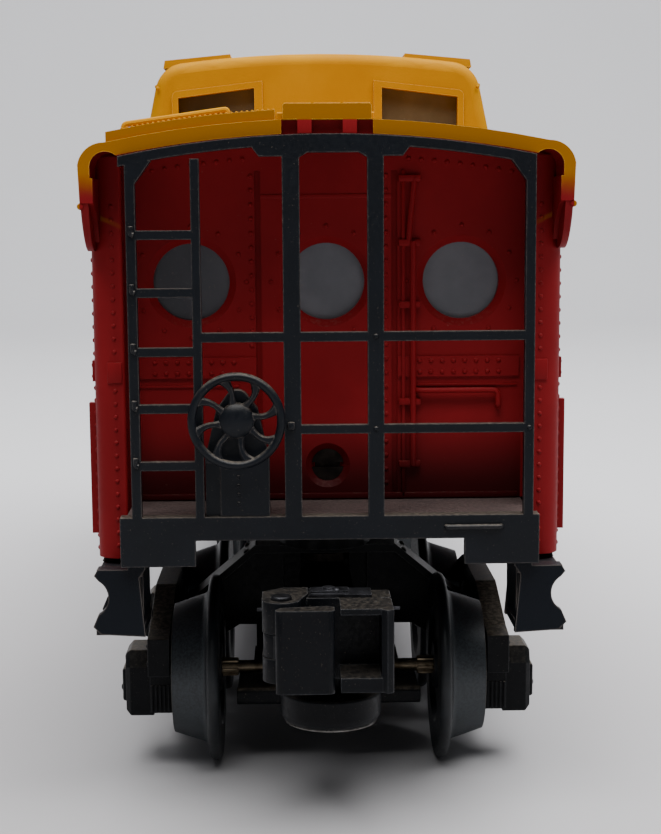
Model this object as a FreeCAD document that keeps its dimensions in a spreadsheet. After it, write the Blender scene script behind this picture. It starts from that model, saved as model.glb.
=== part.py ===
"""Model caboose for O gauge track (31.75 mm), with porthole windows, a cupola and an open platform at each end.

Frame: +Z up, +Y along the car, X across. The origin is on the track's centre line below the middle of the car,
level with the lowest point of the wheel flanges. The car looks the same after half a turn about Z, so each end
piece is drawn once at the front (-Y) and its rear twin is the same piece turned round.
"""
import FreeCAD, Part
import os
import Sketcher
from FreeCAD import Placement, Rotation, Vector

DOC = FreeCAD.newDocument("ModelCaboose")
SHEET_NAME = "Sheet"
UP = Vector(0, 0, 1)
NO_TURN = Rotation()
HALF_TURN = Rotation(UP, 180)
ENDS = ("front", "rear")

# Driving dimensions in millimetres. Lengths along the car (names ending in _y) count from its middle.
DIMENSIONS = {
    # body moulding
    "body_half": 26.9, "body_low": 28.6, "wall": 1.4, "end_wall_y": 83.0, "end_wall": 1.6,
    "post_y": 88.4, "post_lip_x": 23.2, "post_round": 2.5, "sheet": 1.3,
    "roof_y": 93.75, "crown": 78.3, "shoulder_x": 24.4, "shoulder_z": 75.85, "roof_skin": 1.55,
    "eave_half": 27.3, "eave_z": 73.4, "eave_low": 69.3, "eave_round": 2.9,
    "eave_thick": 1.3, "eave_bend": 1.75,
    "port_r": 4.48, "port_z": 60.2, "port_x": 15.8, "port_bevel": 0.8,
    "belt_low": 49.0, "belt_top": 51.4, "belt_proud": 0.3, "door_half": 7.6, "groove": 0.7,
    "walk_half": 4.85, "walk_top": 79.9, "landing_thick": 1.1,
    "cupola_y": 28.0, "cupola_wall": 1.4, "cupola_top": 91.6, "board_thick": 1.15, "glazing": 0.8,
    # underframe, platforms and end railings
    "deck_top": 34.4, "deck_thick": 1.3, "deck_half": 22.9, "frame_plate": 1.2, "frame_half": 24.9,
    "frame_end_y": 81.0, "frame_flange_low": 28.8, "truck_y": 58.0, "pivot_r": 2.0, "pivot_boss_r": 7.0,
    "sill_y": 95.0, "sill_half": 23.5, "sill_top": 34.5, "sill_deep": 28.9, "sill_low": 31.85, "bar_thick": 1.1,
    "screw_z": 38.5, "screw_shank_r": 1.1, "lug_y": 79.9,
    # brake gear
    "wheel_x": -10.25, "wheel_z": 45.5, "hand_wheel_r": 5.4, "hand_rim_r": 0.55, "hand_hub_r": 1.9,
    "spindle_r": 0.7, "spokes": 8.0,
    # trucks and wheels
    "axle_z": 11.62, "half_base": 16.0, "flange_r": 11.62, "tread_r": 9.23, "rim_r": 8.04, "back_x": 13.3,
    "flange_x": 15.1, "rim_x": 19.18, "axle_r": 0.8, "axle_half": 23.6, "collar_r": 1.02,
    "frame_in_x": 19.4, "frame_out_x": 22.1, "box_out_x": 25.2, "running": 0.05,
    # couplers
    "coupler_face": 48.6, "knuckle_x": -5.5, "knuckle_y": 44.5, "pin_r": 0.6, "head_low": 17.3, "head_top": 26.4,
    "disc_y": 34.4, "disc_r": 5.8, "disc_low": 10.4, "stem_r": 1.0,
    # pickup and lamp
    "pickup_y": 4.6, "pickup_z": 11.9, "roller_y": 9.0, "roller_z": 4.9, "roller_r": 2.6,
    "lamp_r": 4.2,
}


class Size:
    """A number together with the sheet expression that gives it, so that sums stay tied to the sheet."""

    def __init__(self, number, text, bound):
        self.number = number
        self.text = text
        self.bound = bound

    def joined(self, other, sign, number):
        other = as_size(other)
        return Size(number(self.number, other.number), f"({self.text} {sign} {other.text})", self.bound or other.bound)

    def __add__(self, other):
        return self.joined(other, "+", lambda a, b: a + b)

    def __sub__(self, other):
        return self.joined(other, "-", lambda a, b: a - b)

    def __mul__(self, other):
        return self.joined(other, "*", lambda a, b: a * b)

    def __truediv__(self, other):
        return self.joined(other, "/", lambda a, b: a / b)

    def __rsub__(self, other):
        return as_size(other) - self

    def __neg__(self):
        return self * -1

    __radd__ = __add__
    __rmul__ = __mul__


def as_size(value):
    return value if isinstance(value, Size) else Size(float(value), f"({float(value):g})", False)


class Sizes:
    """The sheet's cells as attributes."""

    def __init__(self, table):
        sheet = DOC.addObject("Spreadsheet::Sheet", SHEET_NAME)
        for row, (name, number) in enumerate(table.items(), start=1):
            sheet.set(f"A{row}", name)
            sheet.set(f"B{row}", str(number))
            sheet.setAlias(f"B{row}", name)
            setattr(self, name, Size(number, f"{SHEET_NAME}.{name}", True))
        DOC.recompute()


D = Sizes(DIMENSIONS)
PARTS = []


def bind(item, name, value):
    """Give a property its size, tied to the sheet where the size comes from it."""
    value = as_size(value)
    if value.bound:
        item.setExpression(name, value.text)
    else:
        setattr(item, name, value.number)


# ---- outlines -------------------------------------------------------------------------------------------------

def circle(x, y, radius):
    return ("circle", x, y, radius)


def path(*corners):
    """A closed counter-clockwise outline. A corner (x, y, radius) bends the side that leaves it: outwards for a
    positive radius and inwards for a negative one."""
    return ("path", list(corners))


def rect(x_low, y_low, x_high, y_high):
    return path((x_low, y_low), (x_high, y_low), (x_high, y_high), (x_low, y_high))


def mirrored(outline):
    """The outline reflected in the vertical axis, still counter-clockwise."""
    if outline[0] == "circle":
        return circle(-as_size(outline[1]), outline[2], outline[3])
    corners = outline[1]
    turned = []
    for index in range(len(corners) - 1, -1, -1):
        corner = corners[index]
        bend = corners[index - 1][2:]
        turned.append((-as_size(corner[0]), corner[1]) + tuple(bend))
    return path(*turned)


def both_sides(*outlines):
    return list(outlines) + [mirrored(outline) for outline in outlines]


def arc_radius(half_width, rise):
    """Radius of an arc that rises by rise over a chord of twice half_width."""
    return (half_width * half_width + rise * rise) / (rise * 2)


def arc_centre(start, end, radius):
    """Centre of the shorter arc that runs counter-clockwise from start to end."""
    middle = (start + end) * 0.5
    half = (end - start) * 0.5
    height = max(radius * radius - half.Length * half.Length, 0.0) ** 0.5
    left = Vector(-half.y, half.x, 0).normalize()
    return middle + left * height


def side_geometry(start, end, radius):
    """The edge of one side of an outline, and which of its ends (1 or 2) is the side's start."""
    if radius is None:
        return Part.LineSegment(start, end), 1
    if radius < 0:
        edge, first = side_geometry(end, start, -radius)
        return edge, 3 - first
    centre = arc_centre(start, end, radius)
    first_angle = (start - centre).getAngle(Vector(1, 0, 0)) * (1 if start.y >= centre.y else -1)
    last_angle = (end - centre).getAngle(Vector(1, 0, 0)) * (1 if end.y >= centre.y else -1)
    return Part.ArcOfCircle(Part.Circle(centre, UP, radius), first_angle, last_angle), 1


def fix_point(sketch, geometry, position, x, y):
    """Hold a point of the sketch at x, y."""
    for name, value, axis in (("DistanceX", as_size(x), -2), ("DistanceY", as_size(y), -1)):
        if abs(value.number) < 1e-9:
            sketch.addConstraint(Sketcher.Constraint("PointOnObject", geometry, position, axis))
            continue
        index = sketch.addConstraint(Sketcher.Constraint(name, -1, 1, geometry, position, value.number))
        if value.bound:
            sketch.setExpression(f"Constraints[{index}]", value.text)


def fix_radius(sketch, geometry, radius):
    radius = as_size(radius)
    index = sketch.addConstraint(Sketcher.Constraint("Radius", geometry, abs(radius.number)))
    if radius.bound:
        sketch.setExpression(f"Constraints[{index}]", f"abs({radius.text})")


def draw_circle(sketch, x, y, radius):
    centre = Vector(as_size(x).number, as_size(y).number, 0)
    geometry = sketch.addGeometry(Part.Circle(centre, UP, as_size(radius).number), False)
    fix_point(sketch, geometry, 3, x, y)
    fix_radius(sketch, geometry, radius)


def draw_path(sketch, corners):
    points = [Vector(as_size(corner[0]).number, as_size(corner[1]).number, 0) for corner in corners]
    sides = []
    for index, corner in enumerate(corners):
        bend = corner[2] if len(corner) > 2 else None
        number = None if bend is None else as_size(bend).number
        edge, first = side_geometry(points[index], points[(index + 1) % len(points)], number)
        sides.append((sketch.addGeometry(edge, False), first, bend))
    for index, (geometry, first, bend) in enumerate(sides):
        following, next_first, _ = sides[(index + 1) % len(sides)]
        sketch.addConstraint(Sketcher.Constraint("Coincident", geometry, 3 - first, following, next_first))
        fix_point(sketch, geometry, first, corners[index][0], corners[index][1])
        if bend is not None:
            fix_radius(sketch, geometry, bend)


# ---- bodies and features --------------------------------------------------------------------------------------

PLANES = {"x": "YZ_Plane", "y": "XZ_Plane", "z": "XY_Plane"}


def new_body(label, placement=None):
    body = DOC.addObject("PartDesign::Body", label)
    body.Label = label
    if placement is not None:
        body.Placement = placement
    PARTS.append(body)
    return body


def new_sketch(body, axis, offset, outlines):
    """A sketch across the axis, offset along its plane's normal: +X, -Y or +Z."""
    sketch = body.newObject("Sketcher::SketchObject", body.Label + "_sketch")
    plane = [item for item in body.Origin.OriginFeatures if item.Role == PLANES[axis]][0]
    sketch.AttachmentSupport = [(plane, "")]
    sketch.MapMode = "FlatFace"
    offset = as_size(offset)
    sketch.AttachmentOffset = Placement(Vector(0, 0, offset.number), NO_TURN)
    if offset.bound:
        sketch.setExpression("AttachmentOffset.Base.z", offset.text)
    for outline in outlines:
        if outline[0] == "circle":
            draw_circle(sketch, *outline[1:])
        else:
            draw_path(sketch, outline[1])
    return sketch


def pad(body, axis, low, high, *outlines):
    """Add the outlines as a prism between two positions along an axis."""
    low = as_size(low)
    sketch = new_sketch(body, axis, -low if axis == "y" else low, outlines)
    feature = body.newObject("PartDesign::Pad", body.Label + "_pad")
    feature.Profile = sketch
    feature.Reversed = axis == "y"
    bind(feature, "Length", as_size(high) - low)
    return feature


def cut(body, axis, low, high, *outlines):
    """Take the outlines away as a prism between two positions along an axis, and see that it did."""
    DOC.recompute()
    before = body.Tip.Shape.Volume
    low = as_size(low)
    high = as_size(high)
    sketch = new_sketch(body, axis, -low if axis == "y" else high, outlines)
    feature = body.newObject("PartDesign::Pocket", body.Label + "_pocket")
    feature.Profile = sketch
    bind(feature, "Length", high - low)
    DOC.recompute()
    if not feature.Shape.Volume < before - 1e-4:
        raise RuntimeError("a pocket of " + body.Label + " takes nothing away")
    return feature


def turned(body, axis, line, *outlines):
    """Add outlines turned about the sketch's horizontal (H_Axis) or vertical (V_Axis) line."""
    sketch = new_sketch(body, axis, 0, outlines)
    feature = body.newObject("PartDesign::Revolution", body.Label + "_turned")
    feature.Profile = sketch
    feature.ReferenceAxis = (sketch, [line])
    feature.Angle = 360
    return feature


def edges_where(body, wanted):
    DOC.recompute()
    edges = body.Tip.Shape.Edges
    names = [f"Edge{number}" for number, edge in enumerate(edges, start=1) if wanted(edge)]
    if not names:
        raise RuntimeError("no edge to dress on " + body.Label)
    return names


def dress(body, kind, size, wanted):
    """Fillet or Chamfer the edges that wanted picks."""
    names = edges_where(body, wanted)
    base = body.Tip
    feature = body.newObject("PartDesign::" + kind, body.Label + "_" + kind.lower())
    feature.Base = (base, names)
    bind(feature, "Radius" if kind == "Fillet" else "Size", size)
    DOC.recompute()
    if feature.Shape.isNull() or not feature.Shape.isValid():
        raise RuntimeError(kind + " fails on " + body.Label)
    return feature


def is_circle(edge, radius):
    return hasattr(edge.Curve, "Radius") and abs(edge.Curve.Radius - as_size(radius).number) < 1e-3


def middle_of(edge):
    return edge.valueAt((edge.FirstParameter + edge.LastParameter) / 2)


def near(value, target):
    return abs(value - as_size(target).number) < 1e-2


def end_placement(end):
    return Placement(Vector(0, 0, 0), HALF_TURN if end == "rear" else NO_TURN)


def truck_placement(end):
    """Truck pieces are drawn about the truck's pivot, coupler towards -Y."""
    offset = D.truck_y.number * (1 if end == "rear" else -1)
    return Placement(Vector(0, offset, 0), HALF_TURN if end == "rear" else NO_TURN)


def new_truck_body(label, end):
    body = new_body(label, truck_placement(end))
    body.setExpression("Placement.Base.y", ("" if end == "rear" else "-") + D.truck_y.text)
    return body


# ---- body moulding --------------------------------------------------------------------------------------------

ROOF_RISE = D.crown - D.shoulder_z
ROOF_RADIUS = arc_radius(D.shoulder_x, ROOF_RISE)
LINING_X = D.shoulder_x - 1.3
LINING_Z = D.shoulder_z - 1.4
LINING_RADIUS = arc_radius(LINING_X, D.crown - D.roof_skin - LINING_Z)
CUPOLA_HALF_LOW = 26.5
CUPOLA_LOW = 74.8
CUPOLA_SIDE_X = 24.0
CUPOLA_SIDE_Z = 86.7
CUPOLA_EDGE_X = 20.2
CUPOLA_EDGE_Z = 90.3
CUPOLA_RADIUS = arc_radius(as_size(CUPOLA_EDGE_X), D.cupola_top - CUPOLA_EDGE_Z)
SIDE_PORTS_Y = (-62.0, -38.0, 38.0, 62.0)
CUPOLA_WINDOW_LOW = 80.3
CUPOLA_WINDOW_X = (9.4, 20.6)


def roof_top():
    """Corners of the roof's outside, from the right eave over the crown to the left eave."""
    return [(D.eave_half, D.eave_z, D.eave_round), (D.shoulder_x, D.shoulder_z, ROOF_RADIUS),
            (-D.shoulder_x, D.shoulder_z, D.eave_round), (-D.eave_half, D.eave_z)]


def roof_strip(x_low, x_high, low, thick):
    """A board that lies on the roof: its underside and top both follow the roof's curve."""
    inner = circle_height(x_high)
    outer = circle_height(x_low)
    return path((x_low, outer + low, -(ROOF_RADIUS + low)), (x_high, inner + low),
                (x_high, inner + low + thick, ROOF_RADIUS + low + thick), (x_low, outer + low + thick))


def circle_height(x):
    """Height of the roof's outside at x, as a parabola that touches the crown arc at both shoulders."""
    return D.crown - ROOF_RISE * ((as_size(x) / D.shoulder_x) * (as_size(x) / D.shoulder_x))


def cupola_section(inset):
    """Cupola outline, moved in by inset from the outside."""
    side = D.cupola_wall * inset
    return [(CUPOLA_HALF_LOW - side, CUPOLA_LOW), (CUPOLA_SIDE_X - side, CUPOLA_SIDE_Z, 4.6 - side),
            (CUPOLA_EDGE_X - side * 0.45, CUPOLA_EDGE_Z - side, CUPOLA_RADIUS),
            (-(CUPOLA_EDGE_X - side * 0.45), CUPOLA_EDGE_Z - side, 4.6 - side),
            (-(CUPOLA_SIDE_X - side), CUPOLA_SIDE_Z), (-(CUPOLA_HALF_LOW - side), CUPOLA_LOW)]


def shell_walls(shell):
    section = [(-D.body_half, D.body_low), (D.body_half, D.body_low), (D.body_half, 68.5)]
    pad(shell, "y", -D.end_wall_y, D.end_wall_y, path(*section, *roof_top(), (-D.body_half, 68.5)))
    inside = D.body_half - D.wall
    inner_y = D.end_wall_y - D.end_wall
    cut(shell, "y", -inner_y, inner_y,
        path((-inside, D.body_low), (inside, D.body_low), (inside, 72.6), (LINING_X, LINING_Z, LINING_RADIUS),
             (-LINING_X, LINING_Z), (-inside, 72.6)))
    doorway = D.deck_half + 0.4
    cut(shell, "y", -D.end_wall_y - 0.5, D.end_wall_y + 0.5, rect(-doorway, D.body_low - 1, doorway, D.deck_top + 0.1))


def shell_overhang(shell):
    inner_x = D.eave_half - D.eave_thick
    bend_z = D.eave_z - 0.2
    bend = -D.eave_bend
    band = [(inner_x, D.eave_low), (D.body_half + 0.25, D.eave_low), *roof_top(), (-D.body_half - 0.25, D.eave_low),
            (-inner_x, D.eave_low), (-inner_x, bend_z, bend), (-LINING_X, LINING_Z, -LINING_RADIUS),
            (LINING_X, LINING_Z, bend), (inner_x, bend_z)]
    for low, high in ((-D.roof_y, -D.end_wall_y + 0.8), (D.end_wall_y - 0.8, D.roof_y)):
        pad(shell, "y", low, high, path(*band))
    post_in = D.post_y - D.sheet
    corner = path((D.post_lip_x, -D.post_y), (D.body_half - D.post_round, -D.post_y, D.post_round),
                  (D.body_half, D.post_round - D.post_y), (D.body_half, -D.end_wall_y + 0.5),
                  (D.body_half - D.sheet, -D.end_wall_y + 0.5), (D.body_half - D.sheet, -post_in),
                  (D.post_lip_x, -post_in))
    rear_corner = path((D.post_lip_x, post_in), (D.body_half - D.sheet, post_in),
                       (D.body_half - D.sheet, D.end_wall_y - 0.5), (D.body_half, D.end_wall_y - 0.5),
                       (D.body_half, D.post_y - D.post_round, D.post_round), (D.body_half - D.post_round, D.post_y),
                       (D.post_lip_x, D.post_y))
    pad(shell, "z", D.body_low, LINING_Z, *both_sides(corner, rear_corner))
    web_low = 65.0
    web_y = D.post_y - 0.1
    web = path((-D.roof_y, 72.0), (-D.roof_y, D.eave_low, -7.0), (-web_y, web_low), (1.5 - web_y, web_low),
               (1.5 - web_y, 72.0))
    for low, high in ((D.body_half - 1.2, D.body_half), (-D.body_half, 1.2 - D.body_half)):
        pad(shell, "x", low, high, *both_sides(web))


def shell_trim(shell):
    wall_out = D.end_wall_y + D.belt_proud
    belts = both_sides(rect(D.door_half + D.groove, D.belt_low, 22.6, D.belt_top))
    for low, high in ((-wall_out, -D.end_wall_y + 0.2), (D.end_wall_y - 0.2, wall_out)):
        pad(shell, "y", low, high, *belts)
    side_out = D.body_half + D.belt_proud
    belt_y = D.post_y - D.post_round
    grab_y = belt_y - 1.6
    side_belt = rect(-belt_y, D.belt_low, belt_y, D.belt_top)
    grab = rect(grab_y - 0.6, 31.0, grab_y + 0.6, 46.4)
    for low, high in ((D.body_half - 0.2, side_out), (-side_out, 0.2 - D.body_half)):
        pad(shell, "x", low, high, side_belt)
    for low, high in ((D.body_half - 0.2, D.body_half + 0.9), (-D.body_half - 0.9, 0.2 - D.body_half)):
        pad(shell, "x", low, high, *both_sides(grab))
    groove = rect(D.door_half, D.deck_top + 0.2, D.door_half + D.groove, 73.0)
    for low, high in ((-D.end_wall_y, 0.5 - D.end_wall_y), (D.end_wall_y - 0.5, D.end_wall_y)):
        cut(shell, "y", low, high, *both_sides(groove))


def shell_roof_fittings(shell):
    walk = rect(-D.walk_half, D.crown - 0.6, D.walk_half, D.walk_top)
    pad(shell, "y", -D.roof_y, -D.cupola_y + 0.5, walk)
    pad(shell, "y", D.cupola_y - 0.5, D.roof_y, walk)
    landing = roof_strip(-24.2, -5.7, -0.2, D.landing_thick + 0.2)
    landing_low, landing_high = D.roof_y - 9.0, D.roof_y - 0.4
    pad(shell, "y", -landing_high, -landing_low, landing)
    pad(shell, "y", landing_low, landing_high, mirrored(landing))
    notch_low = D.crown - D.roof_skin - 0.3
    notch_top = D.crown - 0.1
    notches = [rect(-5.0, notch_low, -3.25, notch_top), rect(-1.7, notch_low, 1.7, notch_top),
               rect(3.25, notch_low, 5.0, notch_top)]
    cut(shell, "y", -D.roof_y, 0.9 - D.roof_y, *notches)
    cut(shell, "y", D.roof_y - 0.9, D.roof_y, *notches)


def shell_cupola(shell):
    pad(shell, "y", -D.cupola_y, D.cupola_y, path(*cupola_section(0)))
    dress(shell, "Fillet", 1.6,
          lambda edge: near(abs(middle_of(edge).y), D.cupola_y) and middle_of(edge).z > CUPOLA_SIDE_Z - 0.5)
    inner_y = D.cupola_y - D.cupola_wall
    lining = cupola_section(1)
    lining[0] = (lining[0][0] - 0.9, 79.2)
    lining[-1] = (-lining[0][0], 79.2)
    cut(shell, "y", -inner_y, inner_y,
        path((-22.0, 74.0), (22.0, 74.0), (22.0, 77.4), *lining, (-22.0, 77.4)))
    inner_x, outer_x = CUPOLA_WINDOW_X
    end_window = path((inner_x, CUPOLA_WINDOW_LOW), (outer_x, CUPOLA_WINDOW_LOW), (outer_x, 85.2), (inner_x, 86.6))
    end_trim = path((inner_x - 1.2, CUPOLA_WINDOW_LOW - 0.8), (outer_x + 0.9, CUPOLA_WINDOW_LOW - 0.8),
                    (outer_x + 0.9, 85.3, 0.9), (outer_x, 86.2), (inner_x - 1.2, 87.6))
    for low, high in ((-D.cupola_y - 0.35, 0.2 - D.cupola_y), (D.cupola_y - 0.2, D.cupola_y + 0.35)):
        pad(shell, "y", low, high, *both_sides(end_trim))
    cut(shell, "y", -D.cupola_y - 1, D.cupola_y + 1, *both_sides(end_window))
    cut(shell, "x", -D.eave_half, D.eave_half, *both_sides(rect(4.0, CUPOLA_WINDOW_LOW, 21.0, 86.0)))
    board_in, board_out = (12.7, 90.5), (22.8, 89.6)
    board = path(board_in, board_out, (board_out[0] - 0.2, D.board_thick + board_out[1]),
                 (board_in[0] + 0.2, D.board_thick + board_in[1]))
    pad(shell, "y", -D.cupola_y + 1.6, D.cupola_y - 1.6, *both_sides(board))


def shell_openings(shell):
    centre = circle(0, D.port_z, D.port_r)
    cut(shell, "y", -D.roof_y, D.roof_y, centre, *both_sides(circle(D.port_x, D.port_z, D.port_r)))
    cut(shell, "x", -D.eave_half, D.eave_half, *[circle(y, D.port_z, D.port_r) for y in SIDE_PORTS_Y])
    outer_x = D.body_half.number
    outer_y = D.end_wall_y.number

    def port_rim(edge):
        if not is_circle(edge, D.port_r):
            return False
        centre = edge.Curve.Center
        return near(abs(centre.x), outer_x) or near(abs(centre.y), outer_y)

    dress(shell, "Chamfer", D.port_bevel, port_rim)
    cut(shell, "y", -D.roof_y, D.roof_y, circle(0, D.screw_z, 1.5))

    def screw_rim(edge):
        return is_circle(edge, 1.5) and near(abs(edge.Curve.Center.y), outer_y)

    dress(shell, "Chamfer", 1.15, screw_rim)


def body_shell():
    shell = new_body("body_shell")
    shell_walls(shell)
    shell_overhang(shell)
    shell_trim(shell)
    shell_roof_fittings(shell)
    shell_cupola(shell)
    shell_openings(shell)
    dress(shell, "Fillet", 0.3, lambda edge: near(abs(middle_of(edge).y), D.post_y) and edge.Length > 30)
    dress(shell, "Fillet", 0.25, lambda edge: near(middle_of(edge).z, D.walk_top) and edge.Length > 20)


def glazing():
    """Milky window inserts that lie against the insides of the walls."""
    low, high = D.port_z - 8.2, D.port_z + 7.8
    inside = D.body_half - D.wall
    inner_y = D.end_wall_y - D.end_wall
    left = new_body("glazing_left")
    pad(left, "x", -inside, D.glazing - inside, rect(-72.0, low, 72.0, high))
    right = new_body("glazing_right")
    pad(right, "x", inside - D.glazing, inside, rect(-72.0, low, 72.0, high))
    for end in ENDS:
        pane = new_body("glazing_" + end, end_placement(end))
        pad(pane, "y", -inner_y, D.glazing - inner_y, rect(-22.5, low, 22.5, high))
    cupola = new_body("cupola_glazing")
    sheet_y = D.cupola_y - D.cupola_wall - 0.05
    face = path((-21.9, 79.4), (21.9, 79.4), (21.4, 87.0), (-21.4, 87.0))
    for low_y, high_y in ((-sheet_y, D.glazing - sheet_y), (sheet_y - D.glazing, sheet_y)):
        pad(cupola, "y", low_y, high_y, face)
    side = path((22.2, 79.4), (23.0, 79.4), (22.45, 86.6), (21.65, 86.6))
    pad(cupola, "y", -sheet_y, sheet_y, *both_sides(side))
    strut = rect(-22.3, 79.4, 22.3, 80.0)
    for low_y, high_y in ((-sheet_y, 1.2 - sheet_y), (sheet_y - 1.2, sheet_y)):
        pad(cupola, "y", low_y, high_y, strut)


# ---- underframe, platforms and railings -----------------------------------------------------------------------

FRAME_TOP = D.deck_top - D.deck_thick
FRAME_LOW = FRAME_TOP - D.frame_plate
BOSS_LOW = 30.2


def underframe():
    frame = new_body("underframe")
    pad(frame, "z", FRAME_LOW, FRAME_TOP, rect(-D.frame_half, -D.frame_end_y, D.frame_half, D.frame_end_y))
    flange = rect(D.frame_half - 1.2, -78.0, D.frame_half, 78.0)
    pad(frame, "z", D.frame_flange_low, FRAME_LOW, *both_sides(flange))
    sill = rect(2.6, -40.0, 4.0, 40.0)
    pad(frame, "z", 25.5, FRAME_LOW, *both_sides(sill))
    pivots = [circle(0, -D.truck_y, D.pivot_boss_r), circle(0, D.truck_y, D.pivot_boss_r)]
    pad(frame, "z", BOSS_LOW, FRAME_LOW, *pivots)
    lug = path((-4.5, FRAME_TOP - 0.4), (4.5, FRAME_TOP - 0.4), (4.5, D.screw_z, 4.9), (-4.5, D.screw_z))
    pad(frame, "y", -D.lug_y - 1.1, -D.lug_y + 0.1, lug)
    pad(frame, "y", D.lug_y - 0.1, D.lug_y + 1.1, lug)
    cut(frame, "y", -D.frame_end_y - 1, D.frame_end_y + 1, circle(0, D.screw_z, D.screw_shank_r))
    hole_r = D.pivot_r + D.running
    holes = [circle(0, -D.truck_y, hole_r), circle(0, D.truck_y, hole_r)]
    cut(frame, "z", BOSS_LOW - 1, FRAME_TOP + 1, *holes)
    slots = [rect(10.0, y - 9.0, 18.0, y + 9.0) for y in (-30.0, 30.0)]
    cut(frame, "z", FRAME_LOW - 1, FRAME_TOP + 1, *both_sides(*slots))


def platform(end):
    """Deck of one end platform, with a pair of steps cast on below its corners."""
    deck = new_body("platform_" + end, end_placement(end))
    front = 2.15 - D.sill_y
    pad(deck, "z", FRAME_TOP, D.deck_top, rect(-D.deck_half, front, D.deck_half, 19.0 - D.sill_y))
    cut(deck, "z", FRAME_TOP - 1, D.deck_top + 1, rect(-5.2, 13.5 - D.sill_y, 5.2, 20.0 - D.sill_y))
    cut(deck, "z", D.deck_top - 0.35, D.deck_top + 1, rect(-8.5, 13.7 - D.sill_y, -5.2, 20.0 - D.sill_y))
    stringer = path((21.0, 20.6), (26.0, 20.9), (26.9, 21.8), (26.3, 23.2, -2.25), (26.2, 27.1), (26.7, 27.7),
                    (26.3, 28.4), (22.9, 28.4), (22.9, FRAME_TOP + 0.2), (20.9, FRAME_TOP + 0.2), (20.9, 28.4),
                    (21.6, 27.4))
    pad(deck, "y", 1.2 - D.sill_y, 2.3 - D.sill_y, *both_sides(stringer))
    pad(deck, "y", 10.0 - D.sill_y, 11.1 - D.sill_y, *both_sides(stringer))
    treads = [rect(21.3, 27.5, 26.4, 28.35), rect(21.1, 20.8, 26.6, 21.8)]
    pad(deck, "y", 1.4 - D.sill_y, 10.9 - D.sill_y, *both_sides(*treads))
    riser = rect(21.2, 21.0, 22.0, FRAME_TOP + 0.2)
    pad(deck, "y", 2.0 - D.sill_y, 10.4 - D.sill_y, *both_sides(riser))
    cut(deck, "x", 23.4, 28.0, rect(3.6 - D.sill_y, 27.9, 8.8 - D.sill_y, 29.0))
    cut(deck, "x", -28.0, -23.4, rect(3.6 - D.sill_y, 27.9, 8.8 - D.sill_y, 29.0))


LADDER = ((-22.1, -21.0), (-15.0, -14.0))
CENTRE_POSTS = ((-5.0, -3.1), (4.3, 6.1))
OUTER_POST = (21.7, 22.8)
RUNG_TOPS = (40.8, 47.2, 53.5, 60.0, 66.3)
BEAM_HALF = 22.8
BEAM_LOW = 73.2


def end_railing(end):
    """End sill, ladder, posts, rails and the curved beam below the roof's edge, all in one casting."""
    rail = new_body("end_railing_" + end, end_placement(end))
    face = -D.sill_y
    back = D.bar_thick - D.sill_y
    pad(rail, "y", face, back,
        path((-D.sill_half, D.sill_deep), (-15.1, D.sill_deep), (-15.1, D.sill_low), (15.1, D.sill_low),
             (15.1, D.sill_deep), (D.sill_half, D.sill_deep), (D.sill_half, D.sill_top),
             (-D.sill_half, D.sill_top)))
    pad(rail, "z", D.sill_top - 0.9, D.sill_top, rect(-D.sill_half, back - 0.1, D.sill_half, 2.1 - D.sill_y))
    beam_radius = arc_radius(as_size(BEAM_HALF), as_size(2.3))
    beam = path((-BEAM_HALF, BEAM_LOW, -beam_radius), (BEAM_HALF, BEAM_LOW), (BEAM_HALF, BEAM_LOW + 1.1, beam_radius),
                (-BEAM_HALF, BEAM_LOW + 1.1))
    pad(rail, "y", face, back, beam)
    uprights = [rect(low, D.sill_top - 0.3, high, 74.0) for low, high in (*LADDER, OUTER_POST)]
    uprights += [rect(low, D.sill_top - 0.3, high, 75.9) for low, high in CENTRE_POSTS]
    for upright in uprights:
        pad(rail, "y", face, back, upright)
    header = path((-3.4, 73.9), (-2.2, 74.6), (3.4, 74.6), (4.6, 73.9), (4.6, 75.9), (-3.4, 75.9))
    pad(rail, "y", face, back, header)
    bracket = path((5.9, 74.2), (8.2, 74.2), (9.2, 75.5), (5.9, 75.9))
    pad(rail, "y", face, back, bracket)
    pad(rail, "y", face, back, path((-8.5, 75.5), (-7.5, 74.2), (-4.8, 74.2), (-4.8, 75.9)))
    pad(rail, "y", face, back, path((20.0, 73.8), (21.9, 71.2), (21.9, 74.0)))
    pad(rail, "y", face, back, path((-21.1, 74.0), (-21.1, 71.2), (-19.2, 73.8)))
    ladder_in = (LADDER[0][1] - 0.3, LADDER[1][0] + 0.3)
    for top in RUNG_TOPS:
        pad(rail, "y", face, back - 0.1, rect(ladder_in[0], top - 1.0, ladder_in[1], top))
    pad(rail, "y", face, back - 0.1, rect(LADDER[1][1] - 0.3, 54.05, OUTER_POST[0] + 0.3, 55.1))
    pad(rail, "y", face, back - 0.1, rect(CENTRE_POSTS[0][0] + 0.3, 43.8, OUTER_POST[0] + 0.3, 44.8))


def brake_stand(end):
    stand = new_body("brake_stand_" + end, end_placement(end))
    x = D.wheel_x
    pad(stand, "y", 0.3 - D.sill_y, 2.1 - D.sill_y,
        path((-13.9, D.sill_top), (-6.7, D.sill_top), (-6.7, 41.0), (x + 2.3, 46.6), (x + 1.1, 48.2, 1.4),
             (x - 1.1, 48.2), (x - 2.3, 46.6), (-13.9, 41.0)))
    cut(stand, "y", 0.3 - D.sill_y, 0.7 - D.sill_y, rect(-13.95, D.sill_top - 0.1, -12.2, 40.6))
    cut(stand, "y", 0.2 - D.sill_y, 2.2 - D.sill_y, circle(x, D.wheel_z, D.spindle_r + D.running))


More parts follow.
